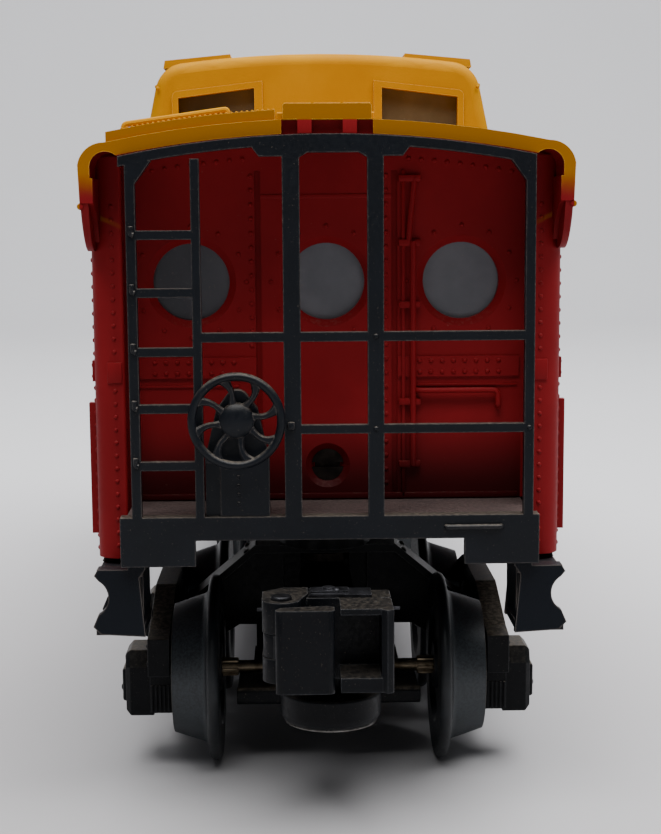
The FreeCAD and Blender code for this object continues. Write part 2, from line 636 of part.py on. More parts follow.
def brake_wheel(end):
    """Dished hand wheel on a spindle. The turning axis is the body's own Y axis until the body is placed."""
    turn = HALF_TURN if end == "rear" else NO_TURN
    spot = turn.multVec(Vector(D.wheel_x.number, 0, D.wheel_z.number))
    wheel = new_body("brake_wheel_" + end, Placement(spot, turn))
    wheel.setExpression("Placement.Base.x", ("-" if end == "rear" else "") + D.wheel_x.text)
    wheel.setExpression("Placement.Base.z", D.wheel_z.text)
    rim_y = -D.sill_y - 1.6
    hub_back = 0.15 - D.sill_y
    turned(wheel, "x", "H_Axis",
           path((rim_y - 0.1, 0), (2.0 - D.sill_y, 0), (2.0 - D.sill_y, D.spindle_r), (hub_back, D.spindle_r),
                (hub_back, 1.2), (rim_y + 0.9, D.hand_hub_r), (rim_y + 0.1, D.hand_hub_r), (rim_y - 0.1, 1.3)))
    rim_in = D.hand_wheel_r - D.hand_rim_r * 2
    spoke = pad(wheel, "y", rim_y - 0.05, rim_y + 0.4, rect(-0.5, 1.0, 0.5, rim_in + 0.3))
    pattern = wheel.newObject("PartDesign::PolarPattern", wheel.Label + "_spokes")
    pattern.Originals = [spoke]
    pattern.Axis = ([item for item in wheel.Origin.OriginFeatures if item.Role == "Y_Axis"][0], [""])
    pattern.Angle = 360
    bind(pattern, "Occurrences", D.spokes)
    wheel.Tip = pattern
    bevel = 0.25
    turned(wheel, "x", "H_Axis",
           path((rim_y - D.hand_rim_r + bevel, rim_in), (rim_y + D.hand_rim_r - bevel, rim_in),
                (rim_y + D.hand_rim_r, rim_in + bevel), (rim_y + D.hand_rim_r, D.hand_wheel_r - bevel),
                (rim_y + D.hand_rim_r - bevel, D.hand_wheel_r), (rim_y - D.hand_rim_r + bevel, D.hand_wheel_r),
                (rim_y - D.hand_rim_r, D.hand_wheel_r - bevel), (rim_y - D.hand_rim_r, rim_in + bevel)))


def body_screws():
    """Two countersunk screws, one at each end, from the end wall into the underframe's lugs."""
    profile = [(-82.35, 0), (-77.5, 0), (-77.5, 0.7), (-78.0, 1.1), (-81.6, 1.1), (-81.85, 1.4), (-82.35, 1.9)]
    solids = []
    for turn in (0, 180):
        points = [Vector(0, y, radius) for y, radius in profile]
        face = Part.Face(Part.makePolygon(points + points[:1]))
        screw = face.revolve(Vector(0, 0, 0), Vector(0, 1, 0), 360)
        slot = Part.makeBox(4.4, 0.45, 0.55, Vector(-2.2, -82.36, -0.275))
        screw = screw.cut(slot)
        screw.translate(Vector(0, 0, D.screw_z.number))
        screw.rotate(Vector(0, 0, 0), UP, turn)
        solids.append(screw)
    screws = DOC.addObject("Part::Feature", "body_screws")
    screws.Label = "body_screws"
    screws.Shape = Part.makeCompound([solid.Solids[0] for solid in solids])
    PARTS.append(screws)


# ---- lamp -----------------------------------------------------------------------------------------------------

def lamp():
    bracket = new_body("lamp_bracket")
    pad(bracket, "z", FRAME_TOP, FRAME_TOP + 0.8, rect(-5.0, -12.0, 5.0, 8.0))
    pad(bracket, "y", -6.8, -6.0, rect(-5.0, FRAME_TOP + 0.4, 5.0, 38.0))
    pad(bracket, "z", 37.2, 38.0, rect(-5.0, -6.5, 5.0, 5.0))
    socket = new_body("lamp_socket")
    pad(socket, "z", 38.0, 46.0, circle(0, 0, D.lamp_r + 0.7))
    cut(socket, "z", 39.0, 46.1, circle(0, 0, D.lamp_r + 0.05))
    bulb = new_body("lamp_bulb")
    turned(bulb, "x", "V_Axis",
           path((0, 39.0), (D.lamp_r, 39.0), (D.lamp_r, 47.5), (D.lamp_r - 0.6, 48.6), (4.9, 52.5, 5.6),
                (0.6, 58.3), (0, 58.3)))


# ---- trucks ---------------------------------------------------------------------------------------------------

def truck_pivot(end):
    """Shouldered rivet: head below the bolster's top, shank up through its boss and the underframe."""
    rivet = new_body("truck_pivot_" + end, truck_placement(end))
    rivet.setExpression("Placement.Base.y", ("" if end == "rear" else "-") + D.truck_y.text)
    pad(rivet, "z", 22.3, 23.35, circle(0, 0, 3.2))
    pad(rivet, "z", 23.3, FRAME_TOP, circle(0, 0, D.pivot_r))
    pad(rivet, "z", FRAME_TOP, FRAME_TOP + 0.9, circle(0, 0, 2.9))
    dress(rivet, "Fillet", 0.5, lambda edge: is_circle(edge, 2.9) and near(middle_of(edge).z, FRAME_TOP + 0.9))


def truck_bolster(end):
    bolster = new_truck_body("truck_bolster_" + end, end)
    web_end = D.frame_in_x
    pad(bolster, "y", -1.2, 1.2,
        path((-web_end, 11.0), (-15.5, 11.0), (-11.6, 13.4), (11.6, 13.4), (15.5, 11.0), (web_end, 11.0),
             (web_end, 16.2), (9.3, 24.6), (-9.3, 24.6), (-web_end, 16.2)))
    pad(bolster, "y", -3.0, 3.0,
        path((-9.3, 23.45), (9.3, 23.45), (18.9, 15.4), (web_end, 16.2), (9.3, 24.6), (-9.3, 24.6), (-web_end, 16.2),
             (-18.9, 15.4)))
    for side in (1, -1):
        low, high = sorted((side * 17.9, side * 19.4))
        pad(bolster, "x", low, high, rect(-3.0, 9.0, 3.0, 16.4))
    pad(bolster, "z", 24.4, BOSS_LOW - 0.2, circle(0, 0, 6.0))
    cut(bolster, "y", -4.0, 4.0, rect(-5.6, 16.8, 5.6, 23.45))
    cut(bolster, "z", 22.0, 31.0, circle(0, 0, D.pivot_r + D.running))
    bar_half = 1.3
    foot = D.axle_z - D.axle_r - 1.3
    for x in (-8.0, 8.0):
        pad(bolster, "z", foot, 14.0, rect(x - bar_half, -1.2, x + bar_half, 1.2))


def side_frame(end, side):
    """Cast side frame with journal boxes. side is -1 or 1 along the truck's own X."""
    world = side * (-1 if end == "rear" else 1)
    label = "side_frame_{}_{}".format(end, "right" if world > 0 else "left")
    frame = new_truck_body(label, end)
    low, high = (D.frame_in_x, D.frame_out_x) if side > 0 else (-D.frame_out_x, -D.frame_in_x)
    base = D.half_base
    half = [(5.6, 5.2), (9.6, 6.6), (11.4, 9.2), (12.2, 6.8), (base + 3.8, 6.8), (base + 4.0, 12.0), (22.6, 12.2),
            (22.6, 16.9), (19.4, 17.4), (8.6, 20.7)]
    outline = [*half, *[(-as_size(y), z) for y, z in reversed(half)]]
    pad(frame, "x", low, high, path(*outline))
    window = path((6.2, 8.6), (8.7, 8.9), (11.0, 12.0), (11.0, 15.7), (6.2, 17.6))
    middle = rect(-4.4, 8.2, 4.4, 17.8)
    cut(frame, "x", low, high, middle, *both_sides(window))
    tie = rect(-4.6, 5.6, 4.6, 8.4)
    spring_seat = rect(-3.4, 9.2, 3.4, 16.4)
    outer = sorted(((low.number + high.number) / 2 - 1.0, (low.number + high.number) / 2 + 1.0))
    pad(frame, "x", outer[0], outer[1], spring_seat, tie)
    pad(frame, "x", outer[0], outer[1], rect(-4.6, 16.2, 4.6, 18.0), rect(-1.0, 8.2, 1.0, 9.4))
    box_low, box_high = (D.frame_out_x - 0.4, D.box_out_x) if side > 0 else (-D.box_out_x, 0.4 - D.frame_out_x)
    box = path((base - 3.4, 6.4), (base + 3.4, 6.4), (base + 3.6, 12.6), (base + 2.6, 14.6), (base - 2.6, 14.6),
               (base - 3.6, 12.6))
    pad(frame, "x", box_low, box_high, *both_sides(box))
    face = side * D.box_out_x.number
    dress(frame, "Chamfer", 0.6, lambda edge: near(middle_of(edge).x, face))
    bore_low, bore_high = (D.frame_in_x - 1, D.axle_half + 0.2) if side > 0 else (-D.axle_half - 0.2, 1 - D.frame_in_x)
    journal = circle(base, D.axle_z, D.axle_r + D.running)
    cut(frame, "x", bore_low, bore_high, *both_sides(journal))


def bottom_plate(end):
    """Plate below the coupler-end axle, held by the bolster's two feet."""
    plate = new_truck_body("bottom_plate_" + end, end)
    top = D.axle_z - D.axle_r - 1.3
    pad(plate, "z", top - 1.2, top,
        path((-11.3, -22.0), (11.3, -22.0), (11.3, -11.0), (9.6, -9.0), (9.6, 2.4), (-9.6, 2.4), (-9.6, -9.0),
             (-11.3, -11.0)))
    pad(plate, "z", top - 0.2, top + 0.8, rect(-11.3, -22.0, 11.3, -20.8))
    dress(plate, "Fillet", 0.5, lambda edge: near(middle_of(edge).y, -22.0) and edge.Length > 20)


def axle(number, spot):
    shaft = new_body(f"axle_{number}", spot)
    turned(shaft, "y", "H_Axis",
           path((-D.axle_half, 0), (D.axle_half, 0), (D.axle_half, D.axle_r - 0.2), (D.axle_half - 0.3, D.axle_r),
                (D.back_x, D.axle_r), (D.back_x, D.collar_r), (11.2, D.collar_r), (11.2, D.axle_r),
                (-11.2, D.axle_r), (-11.2, D.collar_r), (-D.back_x, D.collar_r), (-D.back_x, D.axle_r),
                (0.3 - D.axle_half, D.axle_r), (-D.axle_half, D.axle_r - 0.2)))


def wheel(number, side, spot):
    """Flanged wheel with a coned tread, a dished face and a hub; side is -1 (left) or 1 (right)."""
    disc = new_body("wheel_{}_{}".format(number, "right" if side > 0 else "left"), spot)
    profile = path((D.back_x, D.axle_r), (D.rim_x - 0.3, D.axle_r), (D.rim_x - 0.3, 2.6), (D.rim_x - 1.5, 3.2),
                   (D.rim_x - 1.9, 6.3), (D.rim_x, 6.9), (D.rim_x, D.rim_r), (D.flange_x + 0.4, D.tread_r, -0.9),
                   (D.flange_x - 0.2, D.tread_r + 0.9), (D.flange_x - 0.35, D.flange_r - 0.56, 0.75),
                   (D.back_x, D.flange_r - 0.56), (D.back_x, 7.2),
                   (D.back_x + 0.7, 6.6), (D.back_x + 0.7, 3.4), (D.back_x, 2.8))
    turned(disc, "y", "H_Axis", profile if side > 0 else mirrored(profile))


def wheelsets():
    number = 0
    for end in ENDS:
        for offset in (-D.half_base, D.half_base):
            number += 1
            centre = D.truck_y * (1 if end == "rear" else -1) + offset
            spot = Placement(Vector(0, centre.number, D.axle_z.number), NO_TURN)
            axle(number, spot)
            for side in (-1, 1):
                wheel(number, side, spot)
            for body in PARTS[-3:]:
                body.setExpression("Placement.Base.y", centre.text)
                body.setExpression("Placement.Base.z", D.axle_z.text)


# ---- couplers -------------------------------------------------------------------------------------------------

EAR_R = 2.1
EARS = ((17.9, 20.6), (23.3, 26.8))
SHANK_Z = (17.5, 20.5)


def coupler_head(end):
    """Coupler head and shank in one casting, riveted to the front of the bolster."""
    head = new_truck_body("coupler_head_" + end, end)
    face = -D.coupler_face
    pin_x, pin_y = D.knuckle_x, -D.knuckle_y
    pad(head, "z", D.head_low, D.head_top, rect(-3.2, -42.4, 6.5, -38.6))
    pad(head, "z", D.head_low, D.head_top,
        path((5.2, -42.6), (5.2, face + 0.6), (5.8, face), (6.5, face + 0.4), (6.5, -42.6)))
    pad(head, "z", D.head_low, 18.9, path((0.8, face + 0.5), (5.4, face + 0.5), (5.4, -42.2), (0.8, -42.2)))
    pad(head, "z", 25.7, D.head_top, path((0.8, face + 0.8), (5.4, face + 0.8), (5.4, -42.2), (0.8, -42.2)))
    for low, high in EARS:
        pad(head, "z", low, high, circle(pin_x, pin_y, EAR_R))
        neck = path((pin_x - EAR_R, pin_y), (pin_x + EAR_R, pin_y), (-2.6, -41.8), (-2.6, -38.6), (-5.2, -38.6),
                    (pin_x - EAR_R, -40.6))
        pad(head, "z", low, high, neck)
    low, high = SHANK_Z
    pad(head, "z", low, high,
        path((-4.6, -38.8), (4.6, -38.8), (4.6, -28.0), (3.4, -25.0), (3.4, -1.2), (-3.4, -1.2), (-3.4, -25.0),
             (-4.6, -28.0)))
    pad(head, "z", low, 23.2, path((-4.6, -38.8), (4.6, -38.8), (4.6, -36.6), (-4.6, -36.6)))
    pad(head, "z", D.head_low, 24.5, rect(-5.0, -39.4, 6.0, -37.6))
    cut(head, "z", 16.0, 24.0, circle(0, -D.disc_y, D.stem_r + D.running))
    cut(head, "z", 16.0, 28.0, circle(pin_x, pin_y, D.pin_r))
    dress(head, "Fillet", 0.35, lambda edge: near(middle_of(edge).x, 6.5) and edge.Length > 8)


def knuckle(end):
    jaw = new_truck_body("knuckle_" + end, end)
    face = -D.coupler_face
    pin_x, pin_y = D.knuckle_x, -D.knuckle_y
    gap_low, gap_high = EARS[0][1] + 0.08, EARS[1][0] - 0.08
    pad(jaw, "z", D.head_low, D.head_top,
        path((-5.4, face), (-0.5, face, 0.7), (0.2, face + 0.7), (0.2, face + 1.9), (-0.6, face + 2.5),
             (-5.6, face + 1.75), (-6.1, face + 0.9, 0.7)))
    pad(jaw, "z", gap_low, gap_high, circle(pin_x, pin_y, EAR_R - 0.1))
    pad(jaw, "z", gap_low, gap_high,
        path((-7.1, pin_y - 0.9), (-5.5, face + 1.2), (-0.6, face + 1.2), (0.0, -44.4), (-0.4, -43.2),
             (-4.2, pin_y + 1.6)))
    cut(jaw, "z", gap_low - 1, gap_high + 1, circle(pin_x, pin_y, D.pin_r + D.running))


def knuckle_pin(end):
    pin = new_truck_body("knuckle_pin_" + end, end)
    low, high = EARS[0][0] - 0.3, EARS[1][1]
    pad(pin, "z", low, high, circle(D.knuckle_x, -D.knuckle_y, D.pin_r))
    pad(pin, "z", high, high + 0.45, circle(D.knuckle_x, -D.knuckle_y, 1.15))
    dress(pin, "Fillet", 0.3, lambda edge: is_circle(edge, 1.15) and near(middle_of(edge).z, high + 0.45))


def coupler_plate(end):
    """Thin leaf on top of the coupler head, with one rivet that holds it."""
    plate = new_truck_body("coupler_plate_" + end, end)
    low = D.head_top
    pad(plate, "z", low, low + 0.35, path((-2.5, -42.3), (4.4, -42.3), (4.4, -38.9), (-2.5, -38.9)))
    pad(plate, "z", low + 0.3, low + 0.6, rect(-2.3, -41.6, 1.9, -39.4))
    pad(plate, "z", low + 0.5, low + 0.85, circle(-0.3, -40.5, 0.7))


def uncoupling_disc(end):
    """Soft-iron disc on a stem. It drops a little to let the knuckle go, and a leaf spring lifts it."""
    disc = new_truck_body("uncoupling_disc_" + end, end)
    low = D.disc_low
    pad(disc, "z", low, low + 3.6, circle(0, -D.disc_y, D.disc_r))
    dress(disc, "Fillet", 1.1, lambda edge: is_circle(edge, D.disc_r) and near(middle_of(edge).z, low))
    dress(disc, "Fillet", 0.35, lambda edge: is_circle(edge, D.disc_r) and near(middle_of(edge).z, low + 3.6))
    pad(disc, "z", low + 3.5, 21.6, circle(0, -D.disc_y, D.stem_r))


def pickup():
    """Sprung arm under the front truck with the roller that collects current from the centre rail."""
    pin_y, pin_z = D.pickup_y, D.pickup_z
    arm = new_truck_body("pickup_arm", "front")
    drop = path((pin_y - 1.5, pin_z - 0.6), (D.roller_y - 1.5, D.roller_z), (D.roller_y, D.roller_z - 1.5, 1.5),
                (D.roller_y + 1.5, D.roller_z), (pin_y + 1.5, pin_z + 0.6), (pin_y - 0.4, pin_z + 1.4))
    for side in (-1, 1):
        low, high = sorted((side * 4.2, side * 5.0))
        pad(arm, "x", low, high, drop)
    pad(arm, "x", -4.6, 4.6, rect(pin_y + 0.9, pin_z - 2.4, pin_y + 1.7, pin_z - 0.6))
    cut(arm, "x", -6.0, 6.0, circle(pin_y, pin_z, 0.55 + D.running))
    pin = new_truck_body("pickup_pin", "front")
    pad(pin, "x", -6.4, 6.4, circle(pin_y, pin_z, 0.55))
    hanger = new_truck_body("pickup_hanger", "front")
    for side in (-1, 1):
        low, high = sorted((side * 5.2, side * 6.0))
        pad(hanger, "x", low, high,
            path((1.2, pin_z - 1.2), (pin_y + 1.2, pin_z - 1.2), (pin_y + 1.2, pin_z + 1.2), (3.0, 15.6), (1.2, 15.6)))
    pad(hanger, "y", 1.2, 2.0, rect(-6.0, 14.2, 6.0, 15.6))
    cut(hanger, "x", -7.0, 7.0, circle(pin_y, pin_z, 0.55))
    spot = truck_placement("front").multiply(Placement(Vector(0, D.roller_y.number, D.roller_z.number), NO_TURN))
    roller = new_body("pickup_roller", spot)
    roller.setExpression("Placement.Base.y", f"{D.roller_y.text} - {D.truck_y.text}")
    roller.setExpression("Placement.Base.z", D.roller_z.text)
    turned(roller, "y", "H_Axis",
           path((-4.05, 0), (4.05, 0), (4.05, 1.4), (3.7, 1.4), (3.7, D.roller_r - 0.4), (3.3, D.roller_r),
                (-3.3, D.roller_r), (-3.7, D.roller_r - 0.4), (-3.7, 1.4), (-4.05, 1.4)))
    turned(roller, "y", "H_Axis", path((-5.4, 0), (5.4, 0), (5.4, 0.5), (-5.4, 0.5)))
    cut(arm, "x", -6.0, 6.0, circle(D.roller_y, D.roller_z, 0.5 + D.running))


# ---- assembly -------------------------------------------------------------------------------------------------

def build():
    body_shell()
    glazing()
    underframe()
    body_screws()
    lamp()
    for end in ENDS:
        platform(end)
        end_railing(end)
        brake_stand(end)
        brake_wheel(end)
        truck_pivot(end)
        truck_bolster(end)
        for side in (-1, 1):
            side_frame(end, side)
        bottom_plate(end)
        coupler_head(end)
        coupler_plate(end)
        knuckle(end)
        knuckle_pin(end)
        uncoupling_disc(end)
    wheelsets()
    pickup()
    DOC.recompute()


def check():
    for item in DOC.Objects:
        if "Invalid" in item.State or "Error" in item.State:
            raise RuntimeError(item.Label + " is " + ", ".join(item.State))
    for item in PARTS:
        if item.Shape.isNull() or not item.Shape.isValid():
            raise RuntimeError(item.Label + " has no valid shape")


def export():
    os.makedirs("parts", exist_ok=True)
    for item in PARTS:
        item.Shape.exportStep(f"parts/{item.Label}.step")


build()
check()
export()
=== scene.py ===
import math

import bmesh
import bpy
from mathutils import Matrix, Vector


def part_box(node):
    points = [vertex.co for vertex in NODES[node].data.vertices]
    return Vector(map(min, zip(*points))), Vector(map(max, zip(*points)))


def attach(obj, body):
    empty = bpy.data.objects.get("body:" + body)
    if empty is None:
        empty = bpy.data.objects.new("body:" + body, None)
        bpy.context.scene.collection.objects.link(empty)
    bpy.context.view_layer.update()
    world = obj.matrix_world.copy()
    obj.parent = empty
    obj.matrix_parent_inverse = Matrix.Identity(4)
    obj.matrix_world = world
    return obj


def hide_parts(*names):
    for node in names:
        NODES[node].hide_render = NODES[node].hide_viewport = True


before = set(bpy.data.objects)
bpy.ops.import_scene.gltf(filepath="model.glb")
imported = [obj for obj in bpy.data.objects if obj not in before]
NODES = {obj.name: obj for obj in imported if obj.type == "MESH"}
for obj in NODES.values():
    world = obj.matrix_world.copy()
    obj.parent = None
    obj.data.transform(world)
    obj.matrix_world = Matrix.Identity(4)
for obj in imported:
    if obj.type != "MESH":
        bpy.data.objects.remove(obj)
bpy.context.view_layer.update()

MM = 0.001
ENDS = ("front", "rear")
SIGNS = (-1, 1)
HALF_TURN = Matrix.Rotation(math.pi, 4, "Z")


# ---- sizes in millimetres ------------------------------------------------------------------------

def size_of(node):
    """Lowest and highest corner of a CAD node, in millimetres."""
    low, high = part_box(node)
    return Vector(low) / MM, Vector(high) / MM


# Read from the frame.
SHELL_LOW, SHELL_HIGH = size_of("body_shell")
PANE_LOW, PANE_HIGH = size_of("glazing_front")
AXLE_LOW, AXLE_HIGH = size_of("axle_1")
HEAD_LOW, HEAD_HIGH = size_of("coupler_head_front")
DECK_TOP = size_of("platform_front")[1].z
SILL_Y = -size_of("end_railing_front")[0].y    # outer face of the end sill
ROOF_Y = -SHELL_LOW.y                   # end of the roof
WALL_Y = -PANE_LOW.y + 1.6              # outer face of the end wall, 1.6 thick, with its panes behind it
POST_Y = WALL_Y + 5.4                   # outer face of the corner posts
BODY_HALF = SHELL_HIGH.x - 0.9          # outside of the side sheets, inside the roof's overhang
BODY_LOW = SHELL_LOW.z
PORT_Z = (PANE_LOW.z + PANE_HIGH.z) / 2 + 0.2
AXLE_Z = (AXLE_LOW.z + AXLE_HIGH.z) / 2

# As in the part's source.
PORT_X = 15.8                           # outer portholes of the end wall
SIDE_PORTS_Y = (-62.0, -38.0, 38.0, 62.0)
DOOR_HALF = 7.6
BELT_LOW, BELT_TOP, BELT_PROUD = 49.0, 51.4, 0.3
CROWN, SHOULDER_X, ROOF_RISE = 78.3, 24.4, 2.45
EAVE_LOW = 69.3
WALK_TOP = 79.9
LANDING_THICK = 1.1
CUPOLA_Y = 28.0
CUPOLA_FOOT_Z, CUPOLA_FOOT_HALF = 74.8, 26.5
CUPOLA_HEAD_Z, CUPOLA_HEAD_HALF = 86.7, 24.0
CUPOLA_WINDOW_LOW = 80.3
RUNG_TOPS = (40.8, 47.2, 53.5, 60.0, 66.3)
BRAKE_X, BRAKE_Z = -10.25, 45.5
TRUCK_Y, HALF_BASE = 58.0, 16.0
FRAME_OUT, BOX_OUT = 22.1, 25.2         # outer faces of a side frame and of its journal boxes
COUPLER_TOP = 26.4
DISC_Y, DISC_LOW = 34.4, 10.4

# Detail that only the visual model has.
SEAMS_Y = (-78.0, -50.0, -26.0, 0.0, 26.0, 50.0, 78.0)
ROOF_SEAMS_Y = (36.0, 47.0, 58.0, 69.0, 80.0)      # mirrored to the other half of the roof
SHEET_TOP = 68.6                                   # top rivet of a lapped sheet
RIVET = {"radius": 0.3, "height": 0.2, "steps": 8}
FINE_RIVET = {"radius": 0.26, "height": 0.16}
POST_RIVET = {"radius": 0.27, "height": 0.17}
SHEET_RIVET = {"radius": 0.3, "height": 0.24}


def roof_z(x):
    """Height of the roof's outside at x."""
    return CROWN - ROOF_RISE * (x / SHOULDER_X) ** 2


def cupola_half(z):
    """Half the cupola's width at z: its sides lean in."""
    lean = (CUPOLA_FOOT_HALF - CUPOLA_HEAD_HALF) / (CUPOLA_HEAD_Z - CUPOLA_FOOT_Z)
    return CUPOLA_FOOT_HALF - lean * (z - CUPOLA_FOOT_Z)


# ---- mesh tools, in millimetres ------------------------------------------------------------------

def add_box(bm, low, high, bevel=0.15, segments=2):
    """A block with rounded edges."""
    low, high = Vector(low), Vector(high)
    block = bmesh.ops.create_cube(bm, size=1.0)
    spread = Matrix.Translation((low + high) / 2) @ Matrix.Diagonal((*(high - low), 1.0))
    bmesh.ops.transform(bm, matrix=spread, verts=block["verts"])
    if bevel:
        # Each edge once, in a fixed order.
        edges = dict.fromkeys(edge for vert in block["verts"] for edge in vert.link_edges)
        bmesh.ops.bevel(bm, geom=list(edges), offset=bevel, segments=segments, affect="EDGES", profile=0.5)


def add_ring_solid(bm, rings, closed=False):
    """Skin over rings of points. Without closed the two ends get a cap."""
    loops = [[bm.verts.new(point) for point in ring] for ring in rings]
    pairs = list(zip(loops, loops[1:]))
    if closed:
        pairs.append((loops[-1], loops[0]))
    for ring, following in pairs:
        count = len(ring)
        for index in range(count):
            after = (index + 1) % count
            bm.faces.new((ring[index], ring[after], following[after], following[index]))
    if not closed:
        bm.faces.new(list(reversed(loops[0])))
        bm.faces.new(loops[-1])


def rounded_line(points, bend, steps=5):
    """The line through the points with its corners turned to arcs that start bend away from the corner."""
    points = [Vector(point) for point in points]
    line = [points[0]]
    for before, corner, after in zip(points, points[1:], points[2:]):
        reach = min(bend, (before - corner).length * 0.49, (after - corner).length * 0.49)
        start = corner + (before - corner).normalized() * reach
        end = corner + (after - corner).normalized() * reach
        for step in range(steps + 1):
            t = step / steps
            line.append(start.lerp(corner, t).lerp(corner.lerp(end, t), t))
    line.append(points[-1])
    return line


def add_rod(bm, points, radius, bend=0.8, sides=10, tip=0.25):
    """A round rod along the points, with rounded corners and chamfered tips."""
    line = rounded_line(points, bend) if len(points) > 2 else [Vector(point) for point in points]
    first = (line[1] - line[0]).normalized()
    last = (line[-1] - line[-2]).normalized()
    line = [line[0], line[0] + first * radius * tip, *line[1:-1],
            line[-1] - last * radius * tip, line[-1]]
    radii = [radius * (1 - tip), *[radius] * (len(line) - 2), radius * (1 - tip)]
    normal = first.orthogonal().normalized()
    rings = []
    for index, point in enumerate(line):
        ahead = line[min(index + 1, len(line) - 1)] - line[max(index - 1, 0)]
        ahead.normalize()
        normal = (normal - ahead * normal.dot(ahead)).normalized()
        side = ahead.cross(normal)
        rings.append([point + (normal * math.cos(turn) + side * math.sin(turn)) * radii[index]
                      for turn in (2 * math.pi * step / sides for step in range(sides))])
    add_ring_solid(bm, rings)


def axis_frame(axis):
    """Matrix whose Z column is the axis."""
    return Vector(axis).normalized().to_track_quat("Z", "Y").to_matrix().to_4x4()


def add_lathe(bm, centre, axis, profile, steps=32, hole=False):
    """Profile points (radius, height) turned about an axis, and joined last to first if hole is set."""
    place = Matrix.Translation(Vector(centre)) @ axis_frame(axis)
    rings = []
    for radius, height in profile:
        rings.append([place @ Vector((radius * math.cos(turn), radius * math.sin(turn), height))
                      for turn in (2 * math.pi * step / steps for step in range(steps))])
    add_ring_solid(bm, rings, closed=hole)


def add_dome(bm, centre, axis, radius=0.36, height=0.28, steps=10):
    """A rivet head, sunk a little into the surface it sits on."""
    profile = [(radius * 0.98, -0.12), (radius, 0.0), (radius * 0.86, height * 0.52),
               (radius * 0.5, height * 0.88), (radius * 0.14, height)]
    add_lathe(bm, centre, axis, profile, steps)


def circle_points(radius, wire_r, wire_h, steps):
    """Profile of a round wire bent to a ring, as radius and height."""
    return [(radius + wire_r * math.cos(turn), wire_h * math.sin(turn))
            for turn in (math.tau * step / steps for step in range(steps))]


def sorted_box(first, second):
    """Lowest and highest corner of the block between two corners."""
    return [tuple(pick(a, b) for a, b in zip(first, second)) for pick in (min, max)]


def piece(name, bm, material, body, angle=35, place=None):
    """A finished piece from millimetres, riding on its CAD body."""
    if place is not None:
        bm.transform(place)
    bm.transform(Matrix.Scale(MM, 4))
    bm.normal_update()                   # the normals don't turn with a transform
    bmesh.ops.recalc_face_normals(bm, faces=bm.faces)
    mesh = bpy.data.meshes.new(name)
    bm.to_mesh(mesh)
    bm.free()
    mesh.materials.append(material)
    mesh.shade_smooth()
    mesh.set_sharp_from_angle(angle=math.radians(angle))
    item = bpy.data.objects.new(name, mesh)
    bpy.context.scene.collection.objects.link(item)
    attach(item, body)
    return item


def end_place(end):
    """End pieces are drawn for the front end, towards -Y."""
    return HALF_TURN if end == "rear" else Matrix.Identity(4)


def truck_place(end):
    """Truck pieces are drawn about the truck's centre with the coupler towards -Y."""
    return Matrix.Translation((0, TRUCK_Y if end == "rear" else -TRUCK_Y, 0)) @ end_place(end)


# ---- materials -----------------------------------------------------------------------------------

def srgb(red, green, blue):
    """Screen colour 0-255 as linear light."""
    return tuple((value / 255 / 12.92 if value <= 10 else ((value / 255 + 0.055) / 1.055) ** 2.4)
                 for value in (red, green, blue)) + (1.0,)


